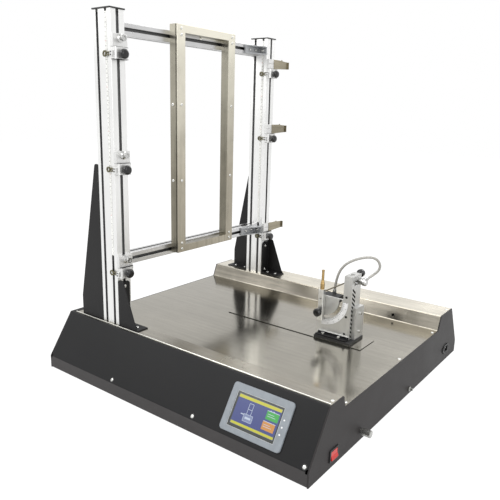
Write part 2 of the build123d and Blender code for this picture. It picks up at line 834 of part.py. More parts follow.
def clamp_knob(level, col_y):
    """Ball-edged knob on a stem that reaches through the runner towards the slot floor."""
    face_x = col_right + clamp_block_t
    tip_x = col_right - slot_depth + 0.5
    with BuildPart() as knob:
        with BuildSketch(Plane.XZ.offset(-col_y)):
            with BuildLine():
                Polyline(
                    (tip_x, level),
                    (tip_x, level + stem_r),
                    (face_x + slide_gap, level + stem_r),
                    (face_x + slide_gap, level + 5),
                    (face_x + 2, level + 5),
                    (face_x + 2, level + knob_r),
                    (face_x + 2 + knob_len, level + knob_r),
                    (face_x + 2 + knob_len, level),
                    close=True,
                )
            make_face()
        revolve(axis=Axis((0, col_y, level), (1, 0, 0)))
        chamfer(knob.edges().filter_by(GeomType.CIRCLE).sort_by(SortBy.RADIUS)[-2:], 3)
    return knob.part


def thread_pulley(level, col_y):
    """Stepped chrome pulley whose spindle turns in the clamp's upper plate."""
    z = level + pulley_drop
    face_x = col_right + clamp_plate_t + slide_gap
    with BuildPart() as pulley:
        with BuildSketch(Plane.XZ.offset(-col_y)):
            with BuildLine():
                Polyline(
                    (face_x - clamp_plate_t + 1, z),
                    (face_x - clamp_plate_t + 1, z + stem_r),
                    (face_x, z + stem_r),
                    (face_x, z + 9.5),
                    (face_x + 3, z + 9.5),
                    (face_x + 5, z + 5),
                    (face_x + 9, z + 5),
                    (face_x + 11, z + 7),
                    (face_x + 15, z + 7),
                    (face_x + 15, z + 4.5),
                    (face_x + 13, z + 4),
                    (face_x + 13, z),
                    close=True,
                )
            make_face()
        revolve(axis=Axis((0, col_y, z), (1, 0, 0)))
    return pulley.part


for number, level in enumerate(near_levels, start=1):
    save(clamp_body(level, col_near_y, False), f"clamp_near_{number}")
    save(clamp_knob(level, col_near_y), f"knob_near_{number}")
    save(thread_pulley(level, col_near_y), f"pulley_near_{number}")
for number, level in enumerate(far_levels, start=1):
    save(clamp_body(level, col_far_y, True), f"clamp_far_{number}")
    save(clamp_knob(level, col_far_y), f"knob_far_{number}")

# Burner carriage: a cover plate on the floor with its stem and shoe under the slot
with BuildPart() as cover_plate:
    with BuildSketch(Plane.XY.offset(floor_z + cover_gap)):
        with Locations((cover_low_x, cover_low_y)):
            Rectangle(cover_high_x - cover_low_x, cover_high_y - cover_low_y, align=(Align.MIN, Align.MIN))
    extrude(amount=cover_t)
    with Locations((stem_x, carriage_y, floor_z + cover_gap)):
        Box(stem_w, stem_d, tray_t + 2 * cover_gap, align=(Align.CENTER, Align.CENTER, Align.MAX))
    with Locations((stem_x, carriage_y, floor_z - tray_t - cover_gap)):
        Box(70, 50, 12, align=(Align.CENTER, Align.CENTER, Align.MAX))
save(cover_plate.part, "cover_plate")

pad_z = floor_z + cover_gap + cover_t
pad_top = pad_z + pad_t
foot_bolts = ((184.0, 0.5), (229.0, 0.5))
guide_bolts = ((46.0, 184.0), (46.0, 136.0))
cap_r = 2.0
with BuildPart() as carriage_pad:
    with BuildSketch(Plane.XY.offset(pad_z)):
        with Locations((pad_low_x, pad_low_y)):
            Rectangle(pad_high_x - pad_low_x, pad_high_y - pad_low_y, align=(Align.MIN, Align.MIN))
        with Locations(*foot_bolts):
            Circle(cap_r + 0.05, mode=Mode.SUBTRACT)
    extrude(amount=pad_t)
save(carriage_pad.part, "carriage_pad")

foot_t = 3.0
foot_h = 8.0
foot_back_y = plate_y - 0.4
with BuildPart() as foot_angle:
    with BuildSketch(Plane.YZ.offset(pad_low_x + 2)):
        with BuildLine():
            Polyline(
                (pad_low_y + 3, pad_top),
                (foot_back_y, pad_top),
                (foot_back_y, pad_top + foot_h),
                (foot_back_y - foot_t, pad_top + foot_h),
                (foot_back_y - foot_t, pad_top + foot_t),
                (pad_low_y + 3, pad_top + foot_t),
                close=True,
            )
        make_face()
    extrude(amount=post_high_x - pad_low_x - 2)
    with Locations(*[Location((x, y, pad_top)) for x, y in foot_bolts]):
        Cylinder(cap_r + 0.05, 4 * foot_t, mode=Mode.SUBTRACT)
save(foot_angle.part, "foot_angle")

# Guide: a C-shaped column behind the rack with a T-key for the post's back slot
guide_low_x = post_low_x - guide_inner_wall - run_clear
guide_high_x = post_high_x + guide_wall
with BuildPart() as guide:
    with BuildSketch(Plane.XY.offset(pad_top)):
        with Locations((guide_low_x, guide_y)):
            Rectangle(
                guide_high_x - guide_low_x, post_back_y + run_clear + guide_back - guide_y,
                align=(Align.MIN, Align.MIN),
            )
        with Locations((post_low_x - run_clear, guide_y)):
            Rectangle(
                post_high_x - post_low_x + 2 * run_clear, post_back_y + run_clear - guide_y,
                align=(Align.MIN, Align.MIN), mode=Mode.SUBTRACT,
            )
        key_x = (post_low_x + post_high_x) / 2
        with Locations((key_x, post_back_y + run_clear)):
            Rectangle(runner_neck, slot_lip + 5 * run_clear, align=(Align.CENTER, Align.MAX))
        with Locations((key_x, post_back_y - slot_lip - 4 * run_clear)):
            Rectangle(runner_head, runner_head_t, align=(Align.CENTER, Align.MAX))
    extrude(amount=guide_top - pad_top)
    top_back = guide.edges().filter_by(Axis.X).sort_by(Axis.Z)[-8:].sort_by(Axis.Y)[-1]
    fillet(top_back, 5)
    with Locations(*[Location((guide_high_x, y, z), facing_right) for y, z in guide_bolts]):
        Cylinder(cap_r + 0.05, 2 * guide_wall + 2, mode=Mode.SUBTRACT)
save(guide.part, "guide")

with BuildPart() as one_cap_screw:
    Cylinder(3.5, 4.0, align=(Align.CENTER, Align.CENTER, Align.MIN))
    Cylinder(cap_r, 8.5, align=(Align.CENTER, Align.CENTER, Align.MAX))
    with BuildSketch(Plane.XY.offset(4)):
        RegularPolygon(1.7, 6)
    extrude(amount=-2, mode=Mode.SUBTRACT)

with BuildPart() as cap_screws:
    with Locations(
        *[Location((x, y, pad_top + foot_t)) for x, y in foot_bolts],
        *[Location((guide_high_x, y, z), facing_right) for y, z in guide_bolts],
    ):
        add(one_cap_screw.part)
save(cap_screws.part, "cap_screws")

# Burner head: plate with the quarter-circle slot, fixed to the front of the rack post
head_low = pad_top + lift_gap
plate_bolts = ((238.5, 132.0), (240.5, 178.0), (238.5, 229.0))
slot_path = Edge.make_circle(peg_path_r, Plane((pivot_x, pivot_z)), -90.5, 0.5)
with BuildPart() as protractor_plate:
    with BuildSketch(Plane.XZ.offset(-plate_y)):
        with BuildLine():
            Polyline(
                (plate_low_x, head_low),
                (plate_low_x, plate_top),
                (post_low_x, plate_top),
                (post_low_x, post_top),
                (post_high_x, post_top),
                (post_high_x, head_low),
                close=True,
            )
        make_face()
        with Locations((pivot_x, pivot_z)):
            Circle(pivot_r + pin_clear, mode=Mode.SUBTRACT)
        SlotArc(slot_path, 2 * slot_r, mode=Mode.SUBTRACT)
        with Locations(*plate_bolts):
            Circle(2.05, mode=Mode.SUBTRACT)
    extrude(amount=-plate_t)
save(protractor_plate.part, "protractor_plate")

with BuildPart() as protractor_scale:
    with BuildSketch(Plane.XZ.offset(-plate_y)):
        with BuildLine():
            outer_arc = CenterArc((pivot_x, pivot_z), scale_out_r, -92, 92)
            inner_arc = CenterArc((pivot_x, pivot_z), scale_in_r, -92, 92)
            Line(outer_arc @ 0, inner_arc @ 0)
            Line(outer_arc @ 1, inner_arc @ 1)
        make_face()
    extrude(amount=scale_t)
save(protractor_scale.part, "protractor_scale")

notch_low = 259.5
notch_high = 272.0
notch_y = 24.0
post_y = plate_y + plate_t
with BuildPart() as rack_post:
    with BuildSketch(Plane.XY.offset(head_low)):
        with Locations((post_low_x, post_y)):
            Rectangle(post_high_x - post_low_x, post_back_y - post_y, align=(Align.MIN, Align.MIN))
    extrude(amount=post_top - head_low)
    with BuildSketch(Plane.XY.offset(head_low)):
        with Locations(Location((key_x, post_back_y, 0))):
            Polygon(*slot_outline, align=None, mode=Mode.ADD)
    extrude(amount=notch_low - head_low, mode=Mode.SUBTRACT)
    with Locations((post_low_x, notch_y, notch_low)):
        Box(
            post_high_x - post_low_x, post_back_y - notch_y, notch_high - notch_low,
            align=(Align.MIN, Align.MIN, Align.MIN), mode=Mode.SUBTRACT,
        )
    with Locations((key_x, post_y + 18, post_top)):
        Box(9, 16, 6, mode=Mode.SUBTRACT)
    teeth = int((notch_low - head_low) / rack_pitch)
    with BuildSketch(Plane.YZ.offset(post_high_x)):
        with Locations(*[(post_y, head_low + rack_pitch * (n + 1)) for n in range(teeth)]):
            Polygon((0, 3.5), (0, -2.5), (rack_w, -16), (rack_w, -10), align=None)
    extrude(amount=-rack_depth, mode=Mode.SUBTRACT)
    with Locations(*[Location((x, post_y, z), facing_front) for x, z in plate_bolts]):
        Cylinder(2.05, 2 * 9, mode=Mode.SUBTRACT)
    with Locations(Location((key_x, post_back_y, 279), facing_back)):
        Cylinder(3.05, 2 * 10, mode=Mode.SUBTRACT)
save(rack_post.part, "rack_post")

with BuildPart() as one_plate_screw:
    Cylinder(3.2, 1.0, align=(Align.CENTER, Align.CENTER, Align.MIN))
    chamfer(one_plate_screw.faces().sort_by(Axis.Z)[-1].edges(), 0.5)
    Cylinder(2.0, 12.0, align=(Align.CENTER, Align.CENTER, Align.MAX))
with BuildPart() as plate_screws:
    with Locations(*[Location((x, plate_y, z), facing_front) for x, z in plate_bolts]):
        add(one_plate_screw.part)
save(plate_screws.part, "plate_screws")

# Gas block behind the plate: the burner's hollow pivot turns in it
block_low_x = 165.0
block_high_x = 211.0
block_back_y = 52.0
block_low_z = 205.0
block_high_z = 221.0
hose_start = (188.5, 42.5, block_high_z)
with BuildPart() as gas_block:
    with Locations(((block_low_x + block_high_x) / 2, (post_y + block_back_y) / 2, (block_low_z + block_high_z) / 2)):
        Box(block_high_x - block_low_x, block_back_y - post_y, block_high_z - block_low_z)
    chamfer(gas_block.edges().filter_by(Axis.X), 1.5)
    with Locations(Location((pivot_x, post_y, pivot_z), facing_back)):
        Cylinder(pivot_r + pin_clear, 24, align=(Align.CENTER, Align.CENTER, Align.MIN), mode=Mode.SUBTRACT)
save(gas_block.part, "gas_block")

# Gas adjusting knob on the back of the post's head
valve_z = 279.0
with BuildPart() as valve_knob:
    with BuildSketch(Plane.XY.offset(valve_z)):
        with BuildLine():
            Polyline(
                (key_x, post_back_y - 9),
                (key_x + 3, post_back_y - 9),
                (key_x + 3, post_back_y + 6),
                (key_x + 6, post_back_y + 8),
                (key_x + 10.5, post_back_y + 14),
                (key_x + 10.5, post_back_y + 22),
                (key_x + 6, post_back_y + 28),
                (key_x, post_back_y + 29),
                close=True,
            )
        make_face()
    revolve(axis=Axis((key_x, 0, valve_z), (0, 1, 0)))
save(valve_knob.part, "valve_knob")

# Hose fitting: stem in the post's notch, banjo ring and chrome nut outside it
fitting_y = 50.0
fitting_z = 266.0
ring_r = 8.0
nut_r = 9.5
ring_centre = Vector(post_high_x + 4.5, fitting_y, fitting_z)
last_corner = Vector(266.0, 84.0, 272.0)
tail = (last_corner - ring_centre).normalized() * 12.5
with BuildPart() as hose_fitting:
    with BuildSketch(Plane.XY.offset(fitting_z)):
        with BuildLine():
            Polyline(
                (post_low_x + 8, fitting_y),
                (post_low_x + 8, fitting_y + 5),
                (post_high_x, fitting_y + 5),
                (post_high_x, fitting_y + ring_r),
                (post_high_x + 9, fitting_y + ring_r),
                (post_high_x + 9, fitting_y + 5),
                (post_high_x + 11, fitting_y + 5),
                (post_high_x + 11, fitting_y + nut_r),
                (post_high_x + 18, fitting_y + nut_r),
                (post_high_x + 21, fitting_y + nut_r - 3),
                (post_high_x + 21, fitting_y),
                close=True,
            )
        make_face()
    revolve(axis=Axis((0, fitting_y, fitting_z), (1, 0, 0)))
    with BuildSketch(Plane(ring_centre, z_dir=tail)):
        Circle(ferrule_r)
    extrude(amount=tail.length)
save(hose_fitting.part, "hose_fitting")

# Thin pilot tube from the fitting to just beside the burner's head
tube_r = 1.75
with BuildPart() as pilot_tube:
    with BuildLine() as tube_route:
        FilletPolyline(
            (pivot_x + burner_w / 2 + 1.5, 4, 236.5),
            (post_low_x - 4, 40, 261.5),
            (post_low_x + 6.8, fitting_y, fitting_z),
            radius=12,
        )
    with BuildSketch(Plane(tube_route.line @ 0, z_dir=tube_route.line % 0)):
        Circle(tube_r)
        Circle(tube_r - 0.5, mode=Mode.SUBTRACT)
    sweep()
save(pilot_tube.part, "pilot_tube")

# Burner: square body with a hollow pivot and a guide peg, brass nozzle, lock knob
burner_front_y = burner_back_y - burner_w
with BuildPart() as burner_body:
    with Locations((pivot_x, burner_front_y, burner_low)):
        Box(burner_w, burner_w, burner_top - burner_low, align=(Align.CENTER, Align.MIN, Align.MIN))
    chamfer(burner_body.edges().filter_by(Axis.Z), 1)
    with Locations(Location((pivot_x, burner_back_y, pivot_z), facing_back)):
        Cylinder(pivot_r, 26, align=(Align.CENTER, Align.CENTER, Align.MIN))
        Cylinder(2, 60, mode=Mode.SUBTRACT)
    with Locations(Location((pivot_x, burner_back_y, pivot_z - peg_path_r), facing_back)):
        Cylinder(peg_r, plate_t + 3, align=(Align.CENTER, Align.CENTER, Align.MIN))
    with Locations(Location((pivot_x, burner_back_y - burner_w / 2, lock_z), facing_front)):
        Cylinder(2.5 + stem_clear, 2 * burner_w, mode=Mode.SUBTRACT)
    burner_axis_y = burner_back_y - burner_w / 2
    with Locations((pivot_x, burner_axis_y, burner_top)):
        Cylinder(2, 24, align=(Align.CENTER, Align.CENTER, Align.MAX), mode=Mode.SUBTRACT)
save(burner_body.part, "burner_body")

with BuildPart() as nozzle:
    with BuildSketch(Plane.XZ.offset(-burner_axis_y)):
        with BuildLine():
            Polyline(
                (pivot_x + 2, burner_top),
                (pivot_x + 5.5, burner_top),
                (pivot_x + 5.5, burner_top + 14),
                (pivot_x + 3.4, burner_top + 24),
                (pivot_x + 3.4, nozzle_top - 3),
                (pivot_x + 4.0, nozzle_top - 2),
                (pivot_x + 4.0, nozzle_top),
                (pivot_x + 2, nozzle_top),
                close=True,
            )
        make_face()
    revolve(axis=Axis((pivot_x, burner_axis_y, 0), (0, 0, 1)))
save(nozzle.part, "nozzle")

with BuildPart() as lock_knob:
    with BuildSketch(Plane.XY.offset(lock_z)):
        with BuildLine():
            Polyline(
                (pivot_x, burner_back_y - 0.5),
                (pivot_x + 2.5, burner_back_y - 0.5),
                (pivot_x + 2.5, burner_front_y - slide_gap),
                (pivot_x + 5, burner_front_y - slide_gap),
                (pivot_x + 5, burner_front_y - 6),
                (pivot_x + lock_r, burner_front_y - 8),
                (pivot_x + lock_r, burner_front_y - 16),
                (pivot_x + lock_r - 3, burner_front_y - 19),
                (pivot_x, burner_front_y - 19.5),
                close=True,
            )
        make_face()
    revolve(axis=Axis((pivot_x, 0, lock_z), (0, 1, 0)))
save(lock_knob.part, "lock_knob")

# Braided gas hose: straight runs joined by tangent arcs, each as large as its runs allow
hose_route = (
    hose_start,
    (hose_start[0], hose_start[1], 256.0),
    (203.0, 49.0, 299.0),
    (240.0, 62.0, 322.0),
    (277.0, 84.0, 327.0),
    (289.0, 96.0, 297.0),
    tuple(last_corner),
    tuple(ring_centre + tail),
)
hose_points = [Vector(point) for point in hose_route]
hose_radii = []
for before, corner, after in zip(hose_points, hose_points[1:], hose_points[2:]):
    turn = math.radians((corner - before).get_angle(after - corner))
    shorter = min((corner - before).length, (after - corner).length)
    hose_radii.append(0.45 * shorter / math.tan(turn / 2))
print("hose radii", [round(radius, 1) for radius in hose_radii])
with BuildPart() as gas_hose:
    with BuildLine() as hose_line:
        FilletPolyline(*hose_route, radius=hose_radii)
    with BuildSketch(Plane(hose_line.line @ 0, z_dir=hose_line.line % 0)):
        Circle(hose_r)
    sweep()
hose_length = hose_line.wires()[0].length
print("hose length", round(hose_length, 1))
print("hose volume ratio", round(gas_hose.part.volume / (math.pi * hose_r**2 * hose_length), 4))
save(gas_hose.part, "gas_hose")

# Crimp sleeves at both ends of the hose
with BuildPart() as hose_ferrules:
    for end, next_point in ((hose_points[0], hose_points[1]), (hose_points[-1], hose_points[-2])):
        with BuildSketch(Plane(end, z_dir=next_point - end)):
            Circle(ferrule_r)
            Circle(hose_r, mode=Mode.SUBTRACT)
        extrude(amount=ferrule_len)
save(hose_ferrules.part, "hose_ferrules")
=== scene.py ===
"""Looks of a cloth burn tester: black cabinet, stainless tray, T-slot gantry and gas burner."""

import logging
import math
from dataclasses import dataclass
from enum import Enum
from typing import Callable, Iterable, Optional, Sequence

import bmesh
import bpy
import numpy
from mathutils import Matrix, Vector


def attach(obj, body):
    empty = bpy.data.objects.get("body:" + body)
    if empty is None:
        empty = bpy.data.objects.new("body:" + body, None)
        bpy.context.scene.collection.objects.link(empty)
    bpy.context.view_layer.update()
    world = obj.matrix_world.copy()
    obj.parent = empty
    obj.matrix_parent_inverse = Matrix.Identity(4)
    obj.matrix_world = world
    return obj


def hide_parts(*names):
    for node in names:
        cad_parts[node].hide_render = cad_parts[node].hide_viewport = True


LOG = logging.getLogger("burn_tester")
Point = Sequence[float]
SMOOTH_BELOW = math.radians(38)
HEAD_DEPTH = 0.0028


class Body(Enum):
    """The fixed and moving bodies that added pieces ride on, apart from the numbered clamps."""

    CABINET = "cabinet"
    HEAD = "burner_head"


class Side(Enum):
    """The two columns: near the touch screen, and far from it."""

    NEAR = "near"
    FAR = "far"


class Direction(Enum):
    """The axis that a brushed grain runs along."""

    X = (0.03, 1.0, 1.0)
    Y = (1.0, 0.03, 1.0)
    Z = (1.0, 1.0, 0.03)


def mm(*values: float) -> Vector:
    """A point given in millimetres, as metres."""
    return Vector(values) * 0.001


class NodeBoard:
    """The node tree of one material while it is being built."""

    def __init__(self, name: str) -> None:
        """Starts an empty material.

        Args:
            name: the material's name.
        """
        self.material = bpy.data.materials.new(name)
        self.material.use_nodes = True
        self.tree = self.material.node_tree
        self.tree.nodes.clear()
        self.output = self.tree.nodes.new("ShaderNodeOutputMaterial")
        self.surface = self.tree.nodes.new("ShaderNodeBsdfPrincipled")
        self.link(self.surface.outputs[0], self.output.inputs[0])

    def link(self, source: bpy.types.NodeSocket, target: bpy.types.NodeSocket) -> None:
        """Joins an output socket to an input socket."""
        self.tree.links.new(source, target)

    def set(self, **sockets: object) -> None:
        """Sets values on the surface shader's own sockets.

        Args:
            **sockets: socket names with underscores for spaces, and their values.
        """
        for key, value in sockets.items():
            self.surface.inputs[key.replace("_", " ")].default_value = value

    def place(self, scale: Point = (1.0, 1.0, 1.0)) -> bpy.types.NodeSocket:
        """Object coordinates stretched by a scale.

        Args:
            scale: the factor along each axis.

        Returns:
            The socket with the stretched coordinates.
        """
        coords = self.tree.nodes.new("ShaderNodeTexCoord")
        mapping = self.tree.nodes.new("ShaderNodeMapping")
        mapping.inputs["Scale"].default_value = scale
        self.link(coords.outputs["Object"], mapping.inputs["Vector"])
        return mapping.outputs["Vector"]

    def noise(self, vector: bpy.types.NodeSocket, scale: float, detail: float = 4.0,
              rough: float = 0.55) -> bpy.types.NodeSocket:
        """A noise pattern read at a vector.

        Args:
            vector: where the pattern is read.
            scale: pattern repeats in a metre.
            detail: layers of finer noise.
            rough: strength of the finer layers.

        Returns:
            The socket with values from 0 to 1.
        """
        node = self.tree.nodes.new("ShaderNodeTexNoise")
        node.inputs["Scale"].default_value = scale
        node.inputs["Detail"].default_value = detail
        node.inputs["Roughness"].default_value = rough
        self.link(vector, node.inputs["Vector"])
        return node.outputs["Fac"]

    def span(self, value: bpy.types.NodeSocket, low: float, high: float,
             start: float = 0.3, end: float = 0.7) -> bpy.types.NodeSocket:
        """Maps a pattern onto a range of values.

        Args:
            value: the pattern.
            low: the result at start.
            high: the result at end.
            start: pattern value that gives low.
            end: pattern value that gives high.

        Returns:
            The mapped socket.
        """
        node = self.tree.nodes.new("ShaderNodeMapRange")
        for key, number in (("From Min", start), ("From Max", end), ("To Min", low), ("To Max", high)):
            node.inputs[key].default_value = number
        self.link(value, node.inputs["Value"])
        return node.outputs["Result"]

    def math(self, kind: str, first: object, second: object = 0.5) -> bpy.types.NodeSocket:
        """One step of arithmetic on sockets or numbers.

        Args:
            kind: the operation's name.
            first: a socket or a number.
            second: a socket or a number.

        Returns:
            The result's socket.
        """
        node = self.tree.nodes.new("ShaderNodeMath")
        node.operation = kind
        for index, value in enumerate((first, second)):
            if isinstance(value, (int, float)):
                node.inputs[index].default_value = value
            else:
                self.link(value, node.inputs[index])
        return node.outputs[0]

    def mix(self, factor: bpy.types.NodeSocket, first: Point, second: Point) -> bpy.types.NodeSocket:
        """Blends two colours by a factor.

        Args:
            factor: 0 gives the first colour and 1 the second.
            first: linear red, green and blue.
            second: linear red, green and blue.

        Returns:
            The blended colour's socket.
        """
        node = self.tree.nodes.new("ShaderNodeMix")
        node.data_type = "RGBA"
        node.inputs["A"].default_value = (*first, 1.0)
        node.inputs["B"].default_value = (*second, 1.0)
        self.link(factor, node.inputs["Factor"])
        return node.outputs["Result"]

    def colour(self, socket: bpy.types.NodeSocket) -> None:
        """Sends a colour to the surface."""
        self.link(socket, self.surface.inputs["Base Color"])

    def roughness(self, socket: bpy.types.NodeSocket) -> None:
        """Sends a value to the surface's roughness."""
        self.link(socket, self.surface.inputs["Roughness"])

    def relief(self, height: bpy.types.NodeSocket, distance: float, strength: float,
               edge: float = 0.0) -> None:
        """Raises the surface by a pattern, over edges that look slightly rounded.

        Args:
            height: the pattern.
            distance: its height in metres.
            strength: how much of it shows.
            edge: radius of the rounded look along edges, in metres.
        """
        bump = self.tree.nodes.new("ShaderNodeBump")
        bump.inputs["Distance"].default_value = distance
        bump.inputs["Strength"].default_value = strength
        self.link(height, bump.inputs["Height"])
        if edge:
            bevel = self.tree.nodes.new("ShaderNodeBevel")
            bevel.samples = 4
            bevel.inputs["Radius"].default_value = edge
            self.link(bevel.outputs["Normal"], bump.inputs["Normal"])
        self.link(bump.outputs["Normal"], self.surface.inputs["Normal"])


@dataclass(frozen=True)
class Finish:
    """What every surface finish has: a name and a base colour."""

    name: str
    tone: tuple[float, float, float]

    def shade(self, factor: float) -> tuple[float, float, float]:
        """The base colour made lighter or darker."""
        return tuple(min(1.0, channel * factor) for channel in self.tone)

    def build(self) -> bpy.types.Material:
        """Makes the material. Each kind of finish has its own way."""
        raise NotImplementedError

    def material(self) -> bpy.types.Material:
        """The finish's material, made the first time it is asked for."""
        return bpy.data.materials.get(self.name) or self.build()


@dataclass(frozen=True)
class PowderCoat(Finish):
    """Semi-matt powder paint with a fine orange-peel grain and faint dust."""

    gloss: float = 0.5
    grain: float = 900.0
    shine: float = 0.22

    def build(self) -> bpy.types.Material:
        """Makes the material."""
        board = NodeBoard(self.name)
        board.set(Specular_IOR_Level=self.shine)
        place = board.place()
        peel = board.noise(place, self.grain, 3.0)
        dust = board.noise(place, 7.0, 6.0, 0.6)
        board.colour(board.mix(board.span(dust, 0.0, 1.0, 0.35, 0.8), self.shade(0.85), self.shade(1.35)))
        board.roughness(board.span(dust, self.gloss - 0.05, self.gloss + 0.08))
        board.relief(peel, 0.0002, 0.35, 0.0012)
        return board.material


@dataclass(frozen=True)
class BrushedMetal(Finish):
    """Metal with a grain of fine parallel scratches and slow changes of tone."""

    direction: Direction = Direction.X
    rough: float = 0.22
    contrast: float = 0.18
    grain: float = 2600.0
    relief: float = 0.25
    edge: float = 0.0006
    metallic: float = 1.0
    # Painted light: an optional lighter tone that the colour turns to towards the top of the piece; the next
    # fields set where that change happens and how uneven it is.
    lit_top_tone: Optional[tuple[float, float, float]] = None
    fade: tuple[float, float] = (0.4, 0.85)
    uneven: float = 0.25
    uneven_middle: float = 0.12

    def build(self) -> bpy.types.Material:
        """Makes the material."""
        board = NodeBoard(self.name)
        board.set(Metallic=self.metallic)
        streaks = board.noise(board.place(self.direction.value), self.grain, 3.0, 0.6)
        long_streaks = board.noise(board.place(self.direction.value), self.grain / 14, 3.0, 0.6)
        clouds = board.noise(board.place(), 6.0, 5.0, 0.6)
        fine, coarse = (board.math("MULTIPLY", grain, 0.5) for grain in (streaks, long_streaks))
        both = board.math("ADD", fine, coarse)
        tone = board.math("ADD", both, board.math("MULTIPLY", board.math("SUBTRACT", clouds, 0.5), 0.6))
        grained = board.mix(
            board.span(tone, 0.0, 1.0), self.shade(1.0 - self.contrast), self.shade(1.0 + self.contrast))
        # With a lit top tone given, light is painted onto the colour towards the top.
        board.colour(self.painted_top_light(board, grained, clouds) if self.lit_top_tone else grained)
        board.roughness(board.span(clouds, self.rough * 0.8, self.rough * 1.3))
        board.relief(both, 0.00008, self.relief, self.edge)
        return board.material

    def painted_top_light(self, board: NodeBoard, grained: bpy.types.NodeSocket,
              clouds: bpy.types.NodeSocket) -> bpy.types.NodeSocket:
        """Paints light towards the top of the piece: the colour turns to the lit top tone higher up.

        Args:
            board: the material being built.
            grained: the colour lower down.
            clouds: a slow pattern that makes the change uneven.

        Returns:
            The colour's socket.
        """
        parts = board.tree.nodes.new("ShaderNodeSeparateXYZ")
        board.link(board.place(), parts.inputs[0])
        height = board.math("ADD", parts.outputs["Z"], board.math("MULTIPLY", clouds, self.uneven))
        blend = board.tree.nodes.new("ShaderNodeMix")
        blend.data_type = "RGBA"
        blend.inputs["B"].default_value = (*self.lit_top_tone, 1.0)
        start, end = (edge + self.uneven_middle for edge in self.fade)
        board.link(board.span(height, 0.0, 1.0, start, end), blend.inputs["Factor"])
        board.link(grained, blend.inputs["A"])
        return blend.outputs["Result"]


@dataclass(frozen=True)
class CastMetal(Finish):
    """Painted casting with a pebbled skin."""

    gloss: float = 0.5

    def build(self) -> bpy.types.Material:
        """Makes the material."""
        board = NodeBoard(self.name)
        board.set(Metallic=0.35)
        place = board.place()
        pebbles = board.noise(place, 1400.0, 4.0)
        board.colour(board.mix(board.span(pebbles, 0.0, 1.0), self.shade(0.85), self.shade(1.12)))
        board.roughness(board.span(pebbles, self.gloss - 0.08, self.gloss + 0.1))
        board.relief(pebbles, 0.0003, 0.5, 0.0008)
        return board.material


@dataclass(frozen=True)
class Moulded(Finish):
    """Moulded plastic with a fine texture, handled until slightly polished."""

    gloss: float = 0.45
    grain: float = 1500.0
    depth: float = 0.2

    def build(self) -> bpy.types.Material:
        """Makes the material."""
        board = NodeBoard(self.name)
        place = board.place()
        skin = board.noise(place, self.grain, 2.0)
        wear = board.noise(place, 60.0, 4.0)
        board.colour(board.mix(board.span(wear, 0.0, 1.0), self.shade(0.9), self.shade(1.12)))
        board.roughness(board.span(wear, self.gloss * 0.8, self.gloss * 1.2))
        board.relief(skin, 0.0001, self.depth, 0.0005)
        return board.material


@dataclass(frozen=True)
class PrintInk(Finish):
    """Printed ink or a lit screen field, with a faint dot texture."""

    glow: float = 0.0
    gloss: float = 0.4

    def build(self) -> bpy.types.Material:
        """Makes the material."""
        board = NodeBoard(self.name)
        dots = board.noise(board.place(), 1800.0, 2.0)
        tone = board.mix(board.span(dots, 0.0, 1.0), self.shade(0.93), self.shade(1.07))
        board.colour(tone)
        board.set(Roughness=self.gloss)
        if self.glow:
            board.link(tone, board.surface.inputs["Emission Color"])
            board.set(Emission_Strength=self.glow)
        return board.material


@dataclass(frozen=True)
class BraidedSleeve(Finish):
    """A hose sleeve of crossing strands, drawn along and round the tube by its own mapping."""

    strands: float = 12.0
    turns: float = 60.0

    def build(self) -> bpy.types.Material:
        """Makes the material."""
        board = NodeBoard(self.name)
        board.set(Metallic=0.35)
        coords = board.tree.nodes.new("ShaderNodeTexCoord")
        parts = board.tree.nodes.new("ShaderNodeSeparateXYZ")
        board.link(coords.outputs["UV"], parts.inputs[0])
        around = board.math("MULTIPLY", parts.outputs["X"], self.strands * math.tau)
        along = board.math("MULTIPLY", parts.outputs["Y"], self.turns * math.tau)
        one = board.math("SINE", board.math("ADD", around, along))
        two = board.math("SINE", board.math("SUBTRACT", around, along))
        weave = board.math("MAXIMUM", board.math("ABSOLUTE", one), board.math("ABSOLUTE", two))
        board.colour(board.mix(board.span(weave, 0.0, 1.0, 0.5, 1.0), self.shade(0.45), self.shade(1.2)))
        board.roughness(board.span(weave, 0.6, 0.35, 0.5, 1.0))
        board.relief(weave, 0.0003, 0.6)
        return board.material


BLACK_COAT = PowderCoat("black powder coat", (0.0075, 0.0075, 0.0080), 0.45, 900.0, 0.2)
GUSSET_COAT = PowderCoat("gusset powder coat", (0.0095, 0.0092, 0.0095), 0.5, 900.0, 0.25)
# Painted floor reflection: a grey copy of the black coat for the panels' low upright band.
BAND_FLOOR_REFLECTION = PowderCoat("black coat with painted floor reflection", (0.046, 0.043, 0.043), 0.55, 900.0, 0.25)
# Painted light: the side plates are the black coat made lighter and warmer, a lit copy.
SIDE_LIT_COAT = PowderCoat("black side coat with painted light", (0.027, 0.0245, 0.0245), 0.5, 900.0, 0.2)
TRAY_FLOOR = BrushedMetal("tray floor steel", (0.335, 0.318, 0.275), Direction.X, 0.15, 0.12, 1500.0, 0.10)
TRAY_LEDGE = BrushedMetal("tray ledge steel", (0.345, 0.325, 0.280), Direction.X, 0.24, 0.16, 1500.0, 0.2)
# Painted light: the tray's rear ledge is the ledge steel at nearly twice the tone, a lit copy.
REAR_LEDGE_LIT = BrushedMetal("rear ledge steel with painted light", (0.66, 0.62, 0.53), Direction.X, 0.24, 0.18, 1500.0, 0.2)
TRAY_RISE = BrushedMetal("tray step steel", (0.34, 0.315, 0.265), Direction.X, 0.16, 0.3, 1100.0, 0.2)
# Painted highlight: near-white steel standing for the glint on the tray's rolled edge, also used on the beam's
# slot strip.
GLINT_STEEL = BrushedMetal("steel with painted glint", (0.93, 0.92, 0.86), Direction.X, 0.3, 0.06, 1500.0, 0.1)
COVER_STEEL = BrushedMetal("cover plate steel", (0.355, 0.338, 0.295), Direction.Y, 0.14, 0.10, 1500.0, 0.10)
